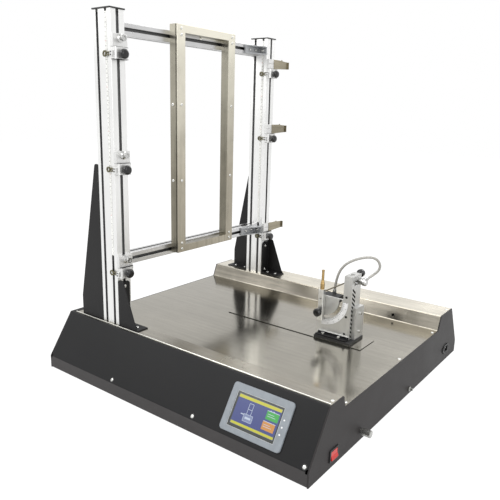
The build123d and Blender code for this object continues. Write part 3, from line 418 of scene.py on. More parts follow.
# Painted shadow: near-black faces on edges, gaps, slot walls and grooves where shade falls.
SHADOW_EDGE = BrushedMetal("painted shadow edge", (0.035, 0.035, 0.03), Direction.Z, 0.45, 0.3)
ANODISED = BrushedMetal("clear anodised bar", (0.80, 0.80, 0.79), Direction.Z, 0.34, 0.05, 1800.0, 0.15)
# Painted shade: the beams carry the columns' anodised finish made darker, a shaded copy.
ANODISED_BEAM_SHADED = BrushedMetal("clear anodised beam with painted shade", (0.60, 0.60, 0.60), Direction.Y, 0.3, 0.08, 1800.0, 0.15)
# Painted shade: a dark copy of the anodised finish for faces deep in the T-slots.
SLOT_PAINTED_SHADE = BrushedMetal("painted shade in slots", (0.13, 0.13, 0.13), Direction.Z, 0.5, 0.1)
MACHINED = BrushedMetal(
    "machined aluminium", (0.56, 0.56, 0.545), Direction.Z, 0.42, 0.10, 3200.0, 0.25, metallic=0.85)
BURNER_METAL = BrushedMetal("burner body aluminium", (0.74, 0.74, 0.72), Direction.Z, 0.3, 0.15, 3200.0, 0.3)
CLAMP_METAL = BrushedMetal(
    "clamp aluminium", (0.70, 0.70, 0.69), Direction.Z, 0.38, 0.08, 3000.0, 0.2, metallic=0.85)
# Painted light and shade: the frames' steel turns from olive low down to light high up, and the side finish is
# a darker copy of the face finish.
FRAME_LIT_FACE = BrushedMetal("frame steel with painted light", (0.36, 0.33, 0.265), Direction.Z, 0.3, 0.26, 1800.0, 0.4,
                          lit_top_tone=(0.80, 0.77, 0.66), fade=(0.52, 0.86))
FRAME_SHADED_SIDE = BrushedMetal("frame steel with painted shade", (0.205, 0.19, 0.15), Direction.Z, 0.3, 0.32, 1800.0, 0.4,
                          lit_top_tone=(0.42, 0.40, 0.33), fade=(0.55, 0.88))
# Painted shade: the far clamp's stainless arm coloured olive brown, as it looks in shade.
ARM_STEEL_SHADED = BrushedMetal("arm steel with painted shade", (0.30, 0.27, 0.20), Direction.Y, 0.28, 0.3, 2600.0, 0.3)
# The eyelet's dark brassy colour: partly its own tone, partly painted shade.
EYELET_METAL_SHADED = BrushedMetal("eyelet metal with painted shade", (0.13, 0.12, 0.075), Direction.X, 0.3, 0.3, 2600.0, 0.3)
SCREW_STEEL = BrushedMetal("plated screw", (0.66, 0.66, 0.64), Direction.Z, 0.25, 0.15, 4000.0, 0.2, 0.0003)
# Blackened screws; the same dark colour also paints the shade in the clamps' seam lines.
DARK_SCREW_AND_SEAM_SHADE = BrushedMetal(
    "blackened screw and painted seam shade", (0.045, 0.045, 0.045), Direction.Z, 0.35, 0.2, 4000.0, 0.2, 0.0003)
TURNED_STEEL = BrushedMetal("turned fitting", (0.42, 0.42, 0.40), Direction.Y, 0.22, 0.2, 4000.0, 0.3, 0.0003)
CHROME = BrushedMetal("polished chrome", (0.52, 0.52, 0.51), Direction.Z, 0.07, 0.08, 4000.0, 0.05, 0.0003)
TUBE_BRONZE = BrushedMetal(
    "pilot tube metal", (0.17, 0.15, 0.115), Direction.X, 0.2, 0.25, 4000.0, 0.1, 0.0003)
BRASS = BrushedMetal("turned brass", (0.50, 0.345, 0.15), Direction.X, 0.25, 0.3, 4000.0, 0.3, 0.0003)
CASTING = CastMetal("grey casting", (0.38, 0.39, 0.40), 0.35)
BLACK_MOULDED = Moulded("black moulding", (0.012, 0.012, 0.012), 0.5)
BALL_BLACK = Moulded("glossy black grip", (0.006, 0.006, 0.0065), 0.16, 700.0, 0.05)
BEZEL_GREY = Moulded("screen bezel moulding", (0.235, 0.26, 0.285), 0.42)
BEZEL_LINE = Moulded("screen inner rim", (0.50, 0.52, 0.54), 0.35)
ROCKER_RED = Moulded("red rocker", (0.60, 0.014, 0.008), 0.2, 600.0, 0.05)
SCREEN_GLASS = Moulded("display glass", (0.05, 0.055, 0.05), 0.12, 500.0, 0.0)
TAPE_WHITE = Moulded("printed tape", (0.80, 0.80, 0.77), 0.4, 800.0, 0.05)
SCALE_WHITE = Moulded("printed protractor band", (0.84, 0.84, 0.84), 0.4, 800.0, 0.05)
INK_BLACK = PrintInk("black ink", (0.03, 0.03, 0.03))
INK_RED = PrintInk("red ink", (0.60, 0.03, 0.03))
MARK_WHITE = PrintInk("white mark", (0.85, 0.85, 0.85))
FIELD_NAVY = PrintInk("screen navy field", (0.035, 0.048, 0.165), 0.12, 0.3)
FIELD_BAR = PrintInk("screen title bar", (0.40, 0.385, 0.03), 0.15, 0.3)
FIELD_PALE = PrintInk("screen pale lines", (0.38, 0.43, 0.52), 0.15, 0.3)
FIELD_MID = PrintInk("screen mid picture", (0.15, 0.18, 0.30), 0.15, 0.3)
FIELD_GREEN = PrintInk("screen green button", (0.035, 0.28, 0.05), 0.12, 0.3)
FIELD_ORANGE = PrintInk("screen orange button", (0.45, 0.20, 0.045), 0.12, 0.3)
HOSE_BRAID = BraidedSleeve("braided sleeve", (0.44, 0.43, 0.40))


FaceTest = Callable[[Vector, Vector], bool]


def paint(node: str, finish: Finish, rules: Sequence[tuple[Finish, FaceTest]] = ()) -> None:
    """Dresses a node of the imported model, with other finishes on the faces that a rule picks.

    Args:
        node: the node's name.
        finish: the finish of all other faces.
        rules: pairs of a finish and a test of a face's centre (in millimetres) and normal.
    """
    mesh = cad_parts[node].data
    mesh.materials.clear()
    mesh.materials.append(finish.material())
    for index, (other, test) in enumerate(rules, start=1):
        mesh.materials.append(other.material())
        for face in mesh.polygons:
            if test(face.center * 1000, face.normal):
                face.material_index = index
    LOG.info("dressed %s in %s", node, finish.name)


def add_box(mesh: bmesh.types.BMesh, low: Vector, high: Vector) -> None:
    """Adds a box between two corners.

    Args:
        mesh: the mesh that is added to.
        low: lowest corner in metres.
        high: highest corner in metres.
    """
    made = bmesh.ops.create_cube(mesh, size=1.0)["verts"]
    size = high - low
    for vertex in made:
        vertex.co = Vector((vertex.co[i] + 0.5) * size[i] + low[i] for i in range(3))


def add_lathe(mesh: bmesh.types.BMesh, profile: Sequence[tuple[float, float]], origin: Vector,
              axis: Vector, segments: int = 32) -> None:
    """Adds a turned shape.

    Args:
        mesh: the mesh that is added to.
        profile: pairs of distance along the axis and radius, in millimetres.
        origin: the axis's start in metres.
        axis: the axis's direction.
        segments: faces around the shape.
    """
    turn = axis.normalized().to_track_quat("Z", "Y").to_matrix()
    rings = []
    for along, radius in profile:
        ring = []
        for step in range(segments if radius > 0 else 1):
            angle = math.tau * step / segments
            spot = Vector((radius * math.cos(angle), radius * math.sin(angle), along)) * 0.001
            ring.append(mesh.verts.new(origin + turn @ spot))
        rings.append(ring)
    for lower, upper in zip(rings, rings[1:]):
        for step in range(segments):
            corners = [lower[step % len(lower)], lower[(step + 1) % len(lower)],
                       upper[(step + 1) % len(upper)], upper[step % len(upper)]]
            unique = list(dict.fromkeys(corners))
            if len(unique) > 2:
                mesh.faces.new(unique)
    for ring in (rings[0], rings[-1]):
        if len(ring) > 2:
            mesh.faces.new(ring)


def add_quad(mesh: bmesh.types.BMesh, centre: Vector, across: Vector, along: Vector) -> None:
    """Adds one flat four-cornered face.

    Args:
        mesh: the mesh that is added to.
        centre: its middle.
        across: half its width, as a vector.
        along: half its height, as a vector.
    """
    corners = (centre - across - along, centre + across - along,
               centre + across + along, centre - across + along)
    mesh.faces.new([mesh.verts.new(corner) for corner in corners])


def add_text(mesh: bmesh.types.BMesh, text: str, centre: Vector, across: Vector, along: Vector,
             height: float) -> None:
    """Adds plain digits or marks as flat faces.

    Args:
        mesh: the mesh that is added to.
        text: the characters.
        centre: their middle in metres.
        across: the reading direction.
        along: the direction that is up in the text.
        height: character height in millimetres.
    """
    curve = bpy.data.curves.new("digits", "FONT")
    curve.body = text
    curve.align_x = "CENTER"
    curve.align_y = "CENTER"
    curve.size = height * 0.0014
    curve.resolution_u = 1
    holder = bpy.data.objects.new("digits", curve)
    flat = bpy.data.meshes.new_from_object(holder)
    turn = Matrix((across, along, across.cross(along))).transposed().to_4x4()
    flat.transform(Matrix.Translation(centre) @ turn)
    mesh.from_mesh(flat)
    bpy.data.objects.remove(holder)
    bpy.data.curves.remove(curve)
    bpy.data.meshes.remove(flat)


def piece(name: str, mesh: bmesh.types.BMesh, finish: Finish, body: str,
          bevel: float = 0.0, stands_for: Iterable[str] = ()) -> bpy.types.Object:
    """Turns a finished mesh into a piece that rides on a body.

    Args:
        name: the piece's name.
        mesh: its mesh, which is freed.
        finish: its finish.
        body: the body it moves with.
        bevel: width of rounded edges in millimetres, or 0.
        stands_for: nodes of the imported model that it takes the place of.

    Returns:
        The new object.
    """
    bmesh.ops.recalc_face_normals(mesh, faces=mesh.faces)
    for edge in mesh.edges:
        edge.smooth = len(edge.link_faces) == 2 and edge.calc_face_angle(0.0) < SMOOTH_BELOW
    for face in mesh.faces:
        face.smooth = True
    data = bpy.data.meshes.new(name)
    mesh.to_mesh(data)
    mesh.free()
    data.materials.append(finish.material())
    made = bpy.data.objects.new(name, data)
    bpy.context.scene.collection.objects.link(made)
    if bevel:
        modifier = made.modifiers.new("rounded edges", "BEVEL")
        modifier.width = bevel * 0.001
        modifier.segments = 2
        modifier.limit_method = "ANGLE"
    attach(made, body)
    if stands_for:
        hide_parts(*stands_for)
    LOG.info("made %s on %s", name, body)
    return made


def screw_place(island: Sequence[bmesh.types.BMVert]) -> tuple[Vector, Vector]:
    """Finds one solid screw's head.

    A screw's faces stand square to its axis or look along it, so of the three main directions of
    its normals the axis is the one whose weight is unlike the other two.

    Args:
        island: the screw's corners.

    Returns:
        The middle of the head's top and the direction that the head faces.
    """
    spread = numpy.zeros((3, 3))
    for face in dict.fromkeys(face for vertex in island for face in vertex.link_faces):
        spread += face.calc_area() * numpy.outer(face.normal, face.normal)
    weights, directions = numpy.linalg.eigh(spread)
    lone = 0 if weights[1] - weights[0] > weights[2] - weights[1] else 2
    axis = Vector(directions[:, lone])
    spots = [vertex.co for vertex in island]
    centre = sum(spots, Vector()) / len(spots)
    ends = []
    for way in (axis, -axis):
        top = max(spot.dot(way) for spot in spots)
        ring = [spot - centre for spot in spots if spot.dot(way) > top - HEAD_DEPTH]
        reach = max((arm - way * arm.dot(way)).length for arm in ring)
        ends.append((reach, centre + way * (top - centre.dot(way)), way))
    _, head, facing = max(ends, key=lambda end: end[0])
    return head, facing


def screw_places(node: str) -> list[tuple[Vector, Vector]]:
    """Finds where the solid screws of a node sit.

    Args:
        node: a node whose separate solids are screws with a wider head.

    Returns:
        For each screw the middle of its head's top and the direction that the head faces.
    """
    mesh = bmesh.new()
    mesh.from_mesh(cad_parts[node].data)
    bmesh.ops.remove_doubles(mesh, verts=mesh.verts, dist=1e-6)
    seen: set[bmesh.types.BMVert] = set()
    places = []
    for start in mesh.verts:
        if start in seen:
            continue
        seen.add(start)
        island = [start]
        for vertex in island:
            for link in vertex.link_edges:
                other = link.other_vert(vertex)
                if other not in seen:
                    seen.add(other)
                    island.append(other)
        places.append(screw_place(island))
    mesh.free()
    return places


@dataclass
class SocketScrews:
    """Round heads with round socket recesses over the plain solid screws of a node."""

    node: str
    name: str
    finish: Finish
    body: Body
    radius: float
    height: float
    socket: float

    def build(self) -> None:
        """Makes every head of the node in one mesh."""
        mesh = bmesh.new()
        skirt = [(-self.height, self.radius), (-self.height * 0.55, self.radius)]
        dome = [(-self.height * 0.3, self.radius * 0.93), (-self.height * 0.1, self.radius * 0.78)]
        top_ring = [(0.0, self.radius * 0.62), (0.0, self.socket * 1.15)]
        socket = [(-self.height * 0.55, self.socket), (-self.height * 0.6, 0.0)]
        for top, facing in screw_places(self.node):
            add_lathe(mesh, skirt + dome + top_ring + socket, top, facing, 24)
        piece(self.name, mesh, self.finish, self.body.value, stands_for=(self.node,))


@dataclass
class Studio:
    """Camera, lamps, pale floor and white surroundings."""

    camera_mm: tuple[float, float, float] = (854.43, -1212.93, 674.51)
    azimuth: float = 36.925
    elevation: float = 13.733
    roll: float = -1.508
    lens: float = 40.92
    ambient: float = 0.45
    aim_z: float = 350.0
    floor_drop: float = -0.0006
    floor_half: float = 9.0
    floor_glow: float = 1.12
    floor_clear: float = 0.88

    def place_camera(self) -> None:
        """Puts the camera where the photograph was taken from."""
        turn, rise, tilt = (math.radians(a) for a in (self.azimuth, self.elevation, self.roll))
        back = Vector((math.sin(turn) * math.cos(rise), -math.cos(turn) * math.cos(rise), math.sin(rise)))
        right = (-back).cross(Vector((0, 0, 1))).normalized()
        down = (-back).cross(right)
        across = math.cos(tilt) * right + math.sin(tilt) * down
        lower = -math.sin(tilt) * right + math.cos(tilt) * down
        data = bpy.data.cameras.new("camera")
        data.lens = self.lens
        data.sensor_width = 36.0
        data.clip_end = 50.0
        camera = bpy.data.objects.new("camera", data)
        camera.matrix_world = Matrix.Translation(mm(*self.camera_mm)) @ Matrix(
            (across, -lower, back)).transposed().to_4x4()
        bpy.context.scene.collection.objects.link(camera)
        bpy.context.scene.camera = camera

    def light(self) -> None:
        """Hangs soft lamps and makes the surroundings white where they are seen."""
        lamps = (
            ("key", (-1400, -1900, 2300), 2.0, 46.0),
            ("fill", (2300, -1200, 1500), 2.2, 26.0),
            ("back", (300, 2200, 2200), 2.2, 30.0),
            ("top", (0, 0, 2900), 2.6, 26.0),
        )
        for name, spot, size, power in lamps:
            data = bpy.data.lights.new(name, "AREA")
            data.shape = "DISK"
            data.size = size
            data.energy = power
            lamp = bpy.data.objects.new(name, data)
            lamp.location = mm(*spot)
            lamp.rotation_mode = "QUATERNION"
            lamp.rotation_quaternion = (lamp.location - mm(0, 0, self.aim_z)).to_track_quat("Z", "Y")
            bpy.context.scene.collection.objects.link(lamp)
        world = bpy.data.worlds.new("surroundings")
        bpy.context.scene.world = world
        world.use_nodes = True
        tree = world.node_tree
        tree.nodes.clear()
        path = tree.nodes.new("ShaderNodeLightPath")
        seen = tree.nodes.new("ShaderNodeMath")
        seen.operation = "MAXIMUM"
        clear = tree.nodes.new("ShaderNodeMath")
        clear.operation = "MAXIMUM"
        strength = tree.nodes.new("ShaderNodeMapRange")
        strength.inputs["To Min"].default_value = self.ambient
        strength.inputs["To Max"].default_value = 1.0
        glow = tree.nodes.new("ShaderNodeBackground")
        glow.inputs["Color"].default_value = (1.0, 1.0, 1.0, 1.0)
        output = tree.nodes.new("ShaderNodeOutputWorld")
        tree.links.new(path.outputs["Is Camera Ray"], seen.inputs[0])
        tree.links.new(path.outputs["Is Glossy Ray"], seen.inputs[1])
        tree.links.new(seen.outputs[0], clear.inputs[0])
        tree.links.new(path.outputs["Is Transmission Ray"], clear.inputs[1])
        tree.links.new(clear.outputs[0], strength.inputs["Value"])
        tree.links.new(strength.outputs["Result"], glow.inputs["Strength"])
        tree.links.new(glow.outputs[0], output.inputs[0])

    def lay_floor(self) -> None:
        """Lays a white floor that keeps the object's soft shadow."""
        mesh = bmesh.new()
        half = self.floor_half
        add_quad(mesh, Vector((0, 0, self.floor_drop)), Vector((half, 0, 0)), Vector((0, half, 0)))
        data = bpy.data.meshes.new("floor")
        mesh.to_mesh(data)
        mesh.free()
        board = NodeBoard("white floor")
        board.set(Roughness=0.9)
        fibres = board.noise(board.place(), 40.0)
        board.colour(board.mix(board.span(fibres, 0.0, 1.0), (0.93, 0.93, 0.93), (0.97, 0.97, 0.97)))
        path = board.tree.nodes.new("ShaderNodeLightPath")
        either = board.math("MAXIMUM", path.outputs["Is Camera Ray"], path.outputs["Is Glossy Ray"])
        clear = board.math("MAXIMUM", either, path.outputs["Is Transmission Ray"])
        white = board.tree.nodes.new("ShaderNodeEmission")
        white.inputs["Strength"].default_value = self.floor_glow
        blend = board.tree.nodes.new("ShaderNodeMixShader")
        board.link(board.math("MULTIPLY", clear, self.floor_clear), blend.inputs["Fac"])
        board.link(board.surface.outputs[0], blend.inputs[1])
        board.link(white.outputs[0], blend.inputs[2])
        board.link(blend.outputs[0], board.output.inputs[0])
        data.materials.append(board.material)
        floor = bpy.data.objects.new("floor", data)
        bpy.context.scene.collection.objects.link(floor)

    def build(self) -> None:
        """Sets up the whole studio."""
        bpy.context.scene.view_settings.view_transform = "Standard"
        self.place_camera()
        self.light()
        self.lay_floor()
        LOG.info("studio ready")


@dataclass
class GasHose:
    """The braided hose from the gas block to the banjo fitting, in millimetres."""

    route: tuple[tuple[float, float, float], ...] = (
        (188.5, 42.5, 221.0),
        (188.5, 42.5, 256.0),
        (203.0, 49.0, 299.0),
        (240.0, 62.0, 322.0),
        (277.0, 84.0, 327.0),
        (289.0, 96.0, 297.0),
        (266.0, 84.0, 272.0),
        (259.82, 61.86, 268.09),
    )
    radius: float = 3.3
    sides: int = 20

    def centre_line(self) -> list[Vector]:
        """The hose's smooth line.

        Returns:
            Points along the route's spline, in metres.
        """
        curve = bpy.data.curves.new("hose line", "CURVE")
        curve.dimensions = "3D"
        spline = curve.splines.new("NURBS")
        spline.points.add(len(self.route) - 1)
        for point, spot in zip(spline.points, self.route):
            point.co = (*mm(*spot), 1.0)
        spline.order_u = 3
        spline.use_endpoint_u = True
        spline.resolution_u = 24
        holder = bpy.data.objects.new("hose line", curve)
        line = bpy.data.meshes.new_from_object(holder)
        points = [vertex.co.copy() for vertex in line.vertices]
        bpy.data.objects.remove(holder)
        bpy.data.meshes.remove(line)
        return points

    def build(self) -> None:
        """Makes the tube with its own mapping round and along the sleeve."""
        points = self.centre_line()
        mesh = bmesh.new()
        mapping = mesh.loops.layers.uv.new("sleeve")
        rings = []
        side = Vector((1, 0, 0))
        for index, point in enumerate(points):
            ahead = points[min(index + 1, len(points) - 1)] - points[max(index - 1, 0)]
            ahead.normalize()
            side = (side - ahead * side.dot(ahead)).normalized()
            other = ahead.cross(side)
            ring = []
            for step in range(self.sides):
                angle = math.tau * step / self.sides
                ring.append(mesh.verts.new(
                    point + (side * math.cos(angle) + other * math.sin(angle)) * self.radius * 0.001))
            rings.append(ring)
        for index, (lower, upper) in enumerate(zip(rings, rings[1:])):
            for step in range(self.sides):
                after = (step + 1) % self.sides
                face = mesh.faces.new((lower[step], lower[after], upper[after], upper[step]))
                spots = ((step, index), (step + 1, index), (step + 1, index + 1), (step, index + 1))
                for loop, (around, along) in zip(face.loops, spots):
                    loop[mapping].uv = (around / self.sides, along / len(rings))
        for ring in (rings[0], rings[-1]):
            mesh.faces.new(ring)
        hose = piece("braided_hose", mesh, HOSE_BRAID, Body.HEAD.value, stands_for=("gas_hose",))
        paint("hose_ferrules", CHROME)


@dataclass
class Cabinet:
    """Black sheet cabinet with the stainless tray let into its top."""

    front_y: float = -411.0
    band_h: float = 33.0
    slope_top_y: float = -342.0
    ledge_z: float = 138.0
    inner_x: float = 397.0
    hem_start: float = 6.0
    corner_w: float = 13.0
    corner_d: float = 46.0
    screw_xs: tuple[float, ...] = (-155.0, 107.0, 388.0)
    screw_s: float = 7.0

    def slope(self, x: float, along: float, out: float) -> Vector:
        """A point on or over the front slope.

        Args:
            x: position across the cabinet.
            along: distance up the slope.
            out: height over the slope.

        Returns:
            The point in metres.
        """
        angle = math.atan2(self.ledge_z - self.band_h, self.slope_top_y - self.front_y)
        y = self.front_y + along * math.cos(angle) - out * math.sin(angle)
        z = self.band_h + along * math.sin(angle) + out * math.cos(angle)
        return mm(x, y, z)

    def axes(self) -> tuple[Vector, Vector, Vector]:
        """Directions across, up and out of the front slope."""
        base = self.slope(0, 0, 0)
        up = (self.slope(0, 1, 0) - base).normalized()
        out = (self.slope(0, 0, 1) - base).normalized()
        return Vector((1, 0, 0)), up, out

    def dress(self) -> None:
        """Gives each sheet its coat, with painted light on the panels' low band, the side plates and the
        tray's rear ledge.
        """
        # The front panel's low upright band gets a grey copy of the black coat: painted floor reflection.
        paint("front_panel", BLACK_COAT, [
            (BAND_FLOOR_REFLECTION, lambda c, n: c.z < self.band_h - 2 and abs(n.y) > 0.7),
        ])
        # The same painted floor reflection on the rear panel's low band.
        paint("rear_panel", BLACK_COAT, [
            (BAND_FLOOR_REFLECTION, lambda c, n: c.z < self.band_h - 2 and abs(n.y) > 0.7),
        ])
        paint("bottom_plate", BLACK_COAT)
        # Side plates: a lighter copy of the black coat, painted light.
        paint("side_plate_left", SIDE_LIT_COAT)
        paint("side_plate_right", SIDE_LIT_COAT)
        paint("tray", TRAY_FLOOR, [
            (TRAY_LEDGE, lambda c, n: c.z > 130 and abs(n.z) > 0.9),
            # Faces on the rear ledge get a much lighter copy of the ledge steel: painted light.
            (REAR_LEDGE_LIT, lambda c, n: c.z > 145 and abs(n.z) > 0.9),
            (TRAY_RISE, lambda c, n: abs(n.z) < 0.9),
        ])

    def add_hem(self) -> None:
        """The tray's rolled front edge, which stands a little over the black strip; its near-white colour is a
        painted glint.
        """
        mesh = bmesh.new()
        y = self.slope_top_y + self.hem_start
        left = -self.inner_x + self.corner_w
        add_box(mesh, mm(left, y + 0.2, self.ledge_z - 0.2), mm(self.inner_x - 1, y + 2.2, self.ledge_z + 2.4))
        # The hem strip is near white: a painted glint where the bend catches light.
        piece("tray_front_hem_glint", mesh, GLINT_STEEL, Body.CABINET.value, bevel=0.8)
        corner = bmesh.new()
        add_box(corner, mm(-self.inner_x, y - 0.2, self.ledge_z - 0.3),
                mm(left, y + self.corner_d, self.ledge_z + 0.5))
        piece("tray_left_corner", corner, BLACK_COAT, Body.CABINET.value, bevel=0.3)

    def add_screw_rings(self) -> None:
        """Thin dark washers under the screws of the front slope."""
        mesh = bmesh.new()
        out = self.axes()[2]
        washer = ((0.02, 4.1), (0.02, 6.2), (0.35, 6.0), (0.35, 4.1))
        for x in self.screw_xs:
            add_lathe(mesh, washer, self.slope(x, self.screw_s, 0), out, 24)
        piece("slope_screw_rings", mesh, BLACK_MOULDED, Body.CABINET.value)

    def build(self) -> None:
        """Dresses and completes the cabinet."""
        self.dress()
        self.add_hem()
        self.add_screw_rings()


@dataclass
class TouchScreen:
    """Framed display on the front slope with a plain generic page on it."""

    low_x: float = 202.0
    high_x: float = 309.0
    low_s: float = 27.0
    high_s: float = 89.0
    glass: float = 3.25
    dot_x: float = 319.0
    dots: tuple[float, ...] = (70.8, 56.4, 42.2)
    layer_step: float = 0.02
    top_layer: int = 8

    def fields(self) -> list[tuple[str, Finish, float, float, float, float]]:
        """The page's plain rectangles.

        Returns:
            Name, finish, low x, high x, low and high distance up the slope.
        """
        x, w = self.low_x, self.high_x
        s, t = self.low_s, self.high_s
        fields = [
            ("page_field", FIELD_NAVY, x, w, s, t),
            ("page_title_bar", FIELD_BAR, x + 1, w - 1, t - 7, t - 0.8),
            ("page_foot_bar", FIELD_BAR, x + 1, w - 1, s + 0.8, s + 6),
            ("page_picture_shade", FIELD_MID, x + 26, x + 48, s + 13, s + 27),
            ("page_green_button", FIELD_GREEN, w - 32, w - 3, s + 33, s + 49),
            ("page_orange_button", FIELD_ORANGE, w - 34, w - 5, s + 12, s + 28),
        ]
        strokes = (
            (x + 26, x + 48, s + 12.4, s + 13.2), (x + 26, x + 48, s + 26.6, s + 27.4),
            (x + 25.6, x + 26.4, s + 13, s + 27), (x + 47.6, x + 48.4, s + 13, s + 27),
            (x + 31, x + 32, s + 27, s + 50), (x + 41, x + 42, s + 27, s + 50),
            (x + 31, x + 42, s + 49, s + 50), (x + 31, x + 42, s + 37, s + 38),
            (x + 18, x + 26, s + 24, s + 26), (x + 30, x + 44, s + 18, s + 22),
            (w - 32, w - 3, s + 49, s + 50.2), (w - 34, w - 5, s + 28, s + 29.2),
            (w - 26, w - 22, t - 12, t - 10.6), (w - 19, w - 15, t - 12, t - 10.6),
            (w - 29, w - 10, s + 39, s + 40), (w - 29, w - 14, s + 43, s + 44),
            (w - 31, w - 12, s + 18, s + 19), (w - 31, w - 16, s + 22, s + 23),
        )
        fields += [(f"page_line_{n}", FIELD_PALE, *box) for n, box in enumerate(strokes)]
        return fields

    def build(self, cabinet: Cabinet) -> None:
        """Dresses the bezel and lays the page on the glass.

        Args:
            cabinet: the cabinet that gives the slope.
        """
        across, up, out = cabinet.axes()
        paint("screen_bezel", BEZEL_GREY)
        paint("screen_glass", SCREEN_GLASS)
        for layer, (name, finish, x0, x1, s0, s1) in enumerate(self.fields()):
            mesh = bmesh.new()
            lift = self.glass + self.layer_step * min(layer, self.top_layer)
            centre = cabinet.slope((x0 + x1) / 2, (s0 + s1) / 2, lift)
            add_quad(mesh, centre, across * (x1 - x0) / 2000, up * (s1 - s0) / 2000)
            piece(name, mesh, finish, Body.CABINET.value)
        rim = bmesh.new()
        strips = (
            (196, 312.5, 20.2, 21.2), (196, 312.5, 92.8, 93.8), (196, 197, 21, 93), (311.5, 312.5, 21, 93),
        )
        for x0, x1, s0, s1 in strips:
            centre = cabinet.slope((x0 + x1) / 2, (s0 + s1) / 2, self.glass + 0.1)
            add_quad(rim, centre, across * (x1 - x0) / 2000, up * (s1 - s0) / 2000)
        piece("screen_inner_rim", rim, BEZEL_LINE, Body.CABINET.value)
        lamps = bmesh.new()
        for s in self.dots:
            add_lathe(lamps, ((0.0, 1.8), (0.25, 1.7), (0.3, 0.0)), cabinet.slope(self.dot_x, s, 4.0), out, 16)
        piece("screen_status_dots", lamps, MARK_WHITE, Body.CABINET.value)


@dataclass
class SideFittings:
    """Rocker switch, gas knob, gas port and mains inlet on the right plate."""

    face_x: float = 400.0
    mains_y: float = 324.0
    mains_z: float = 36.0

    def build(self) -> None:
        """Dresses the fittings."""
        paint("switch_housing", BLACK_MOULDED)
        paint("switch_rocker", ROCKER_RED)
        paint("gas_knob", TURNED_STEEL)
        paint("gas_inlet", TURNED_STEEL)
        paint("mains_inlet", BLACK_MOULDED, [
            (SCREW_STEEL, lambda c, n: self.face_x - 15.6 < c.x < self.face_x - 0.4
                and abs(c.y - self.mains_y) < 8.2 and abs(c.z - self.mains_z) < 5.8),
        ])


@dataclass
class Gantry:
    """Columns, beams, caps, tapes, gussets and corner brackets."""

    tape_x: float = -231.0
    tape_faces: tuple[float, float] = (-330.5, 272.0)
    tape_low: float = 320.0
    tape_high: float = 884.0
    column_x: float = -246.0
    column_ys: tuple[float, float] = (-309.5, 293.0)
    column_reach: tuple[float, float] = (28.5, 19.5)
    beam_x: float = -261.0
    beam_zs: tuple[float, float] = (854.5, 297.0)
    beam_reach: float = 13.5

    def add_slot_strip(self) -> None:
        """The thin strip with a bent end on the top beam's face."""
        mesh = bmesh.new()
        add_box(mesh, mm(-246.2, 0.8, 862.4), mm(-244.8, 106.7, 864.6))
        add_box(mesh, mm(-246.2, 0.8, 858.0), mm(-243.6, 4.8, 864.6))
        # The strip is near white: a painted glint.
        piece("beam_slot_strip", mesh, GLINT_STEEL, Body.CABINET.value, bevel=0.3)

    def print_tapes(self) -> None:
        """Draws the tapes' marks and plain numbers, red at each hundred."""
        marks, digits, reds = bmesh.new(), bmesh.new(), bmesh.new()
        across, up = Vector((1, 0, 0)), Vector((0, 0, 1))
        for face_y in self.tape_faces:
            y = face_y + 0.06
            for step in range(int(self.tape_high - self.tape_low)):
                length = 3.2 if step % 10 == 0 else 2.4 if step % 5 == 0 else 1.6
                z = self.tape_low + step
                add_quad(marks, mm(self.tape_x + 3.9 - length / 2, y, z), across * length / 2000, up * 0.00014)
                if step % 10 == 0 and step:
                    target = reds if step % 100 == 0 else digits
                    add_text(target, str(step // 10), mm(self.tape_x - 1.6, y - 0.01, z), across, up, 2.6)
        piece("tape_marks", marks, INK_BLACK, Body.CABINET.value)
        piece("tape_numbers", digits, INK_BLACK, Body.CABINET.value)
        piece("tape_hundreds", reds, INK_RED, Body.CABINET.value)

    def build(self) -> None:
        """Dresses the gantry."""
        reach_x, reach_y = self.column_reach
        for side, middle in zip(Side, self.column_ys):
            paint(f"column_{side.value}", ANODISED, [
                # Faces deep in the column's T-slots: painted shade.
                (SLOT_PAINTED_SHADE, lambda c, n, y=middle: abs(c.x - self.column_x) < reach_x
                    and abs(c.y - y) < reach_y and abs(n.z) < 0.5),
            ])
        for name, middle in zip(("beam_top", "beam_low"), self.beam_zs):
            # The beams get a darker copy of the anodised finish: painted shade.
            paint(name, ANODISED_BEAM_SHADED, [
                # Faces deep in the beam's T-slots: painted shade.
                (SLOT_PAINTED_SHADE, lambda c, n, z=middle: abs(c.x - self.beam_x) < self.beam_reach
                    and abs(c.z - z) < self.beam_reach and abs(n.y) < 0.5),
            ])
        paint("column_caps", BLACK_MOULDED)
        paint("scale_tapes", TAPE_WHITE)
        paint("corner_brackets", CASTING)
        SocketScrews("button_screws", "button_screw_heads", SCREW_STEEL, Body.CABINET, 4.0, 2.2, 1.4).build()
        for side in Side:
            paint(f"gusset_short_{side.value}", GUSSET_COAT)
            paint(f"gusset_tall_{side.value}", GUSSET_COAT)
        self.print_tapes()
        self.add_slot_strip()


@dataclass
class SpecimenFrames:
    """The channel frame and the front frame that hold the cloth between them."""

    def build(self) -> None:
        """Dresses both frames: the faces turn from olive low down to light higher up as painted light, and the
        sides and the whole rear frame are a darker copy as painted shade.
        """
        paint("rear_frame", FRAME_SHADED_SIDE)
        paint("front_frame", FRAME_LIT_FACE, [(FRAME_SHADED_SIDE, lambda c, n: abs(n.x) < 0.5)])


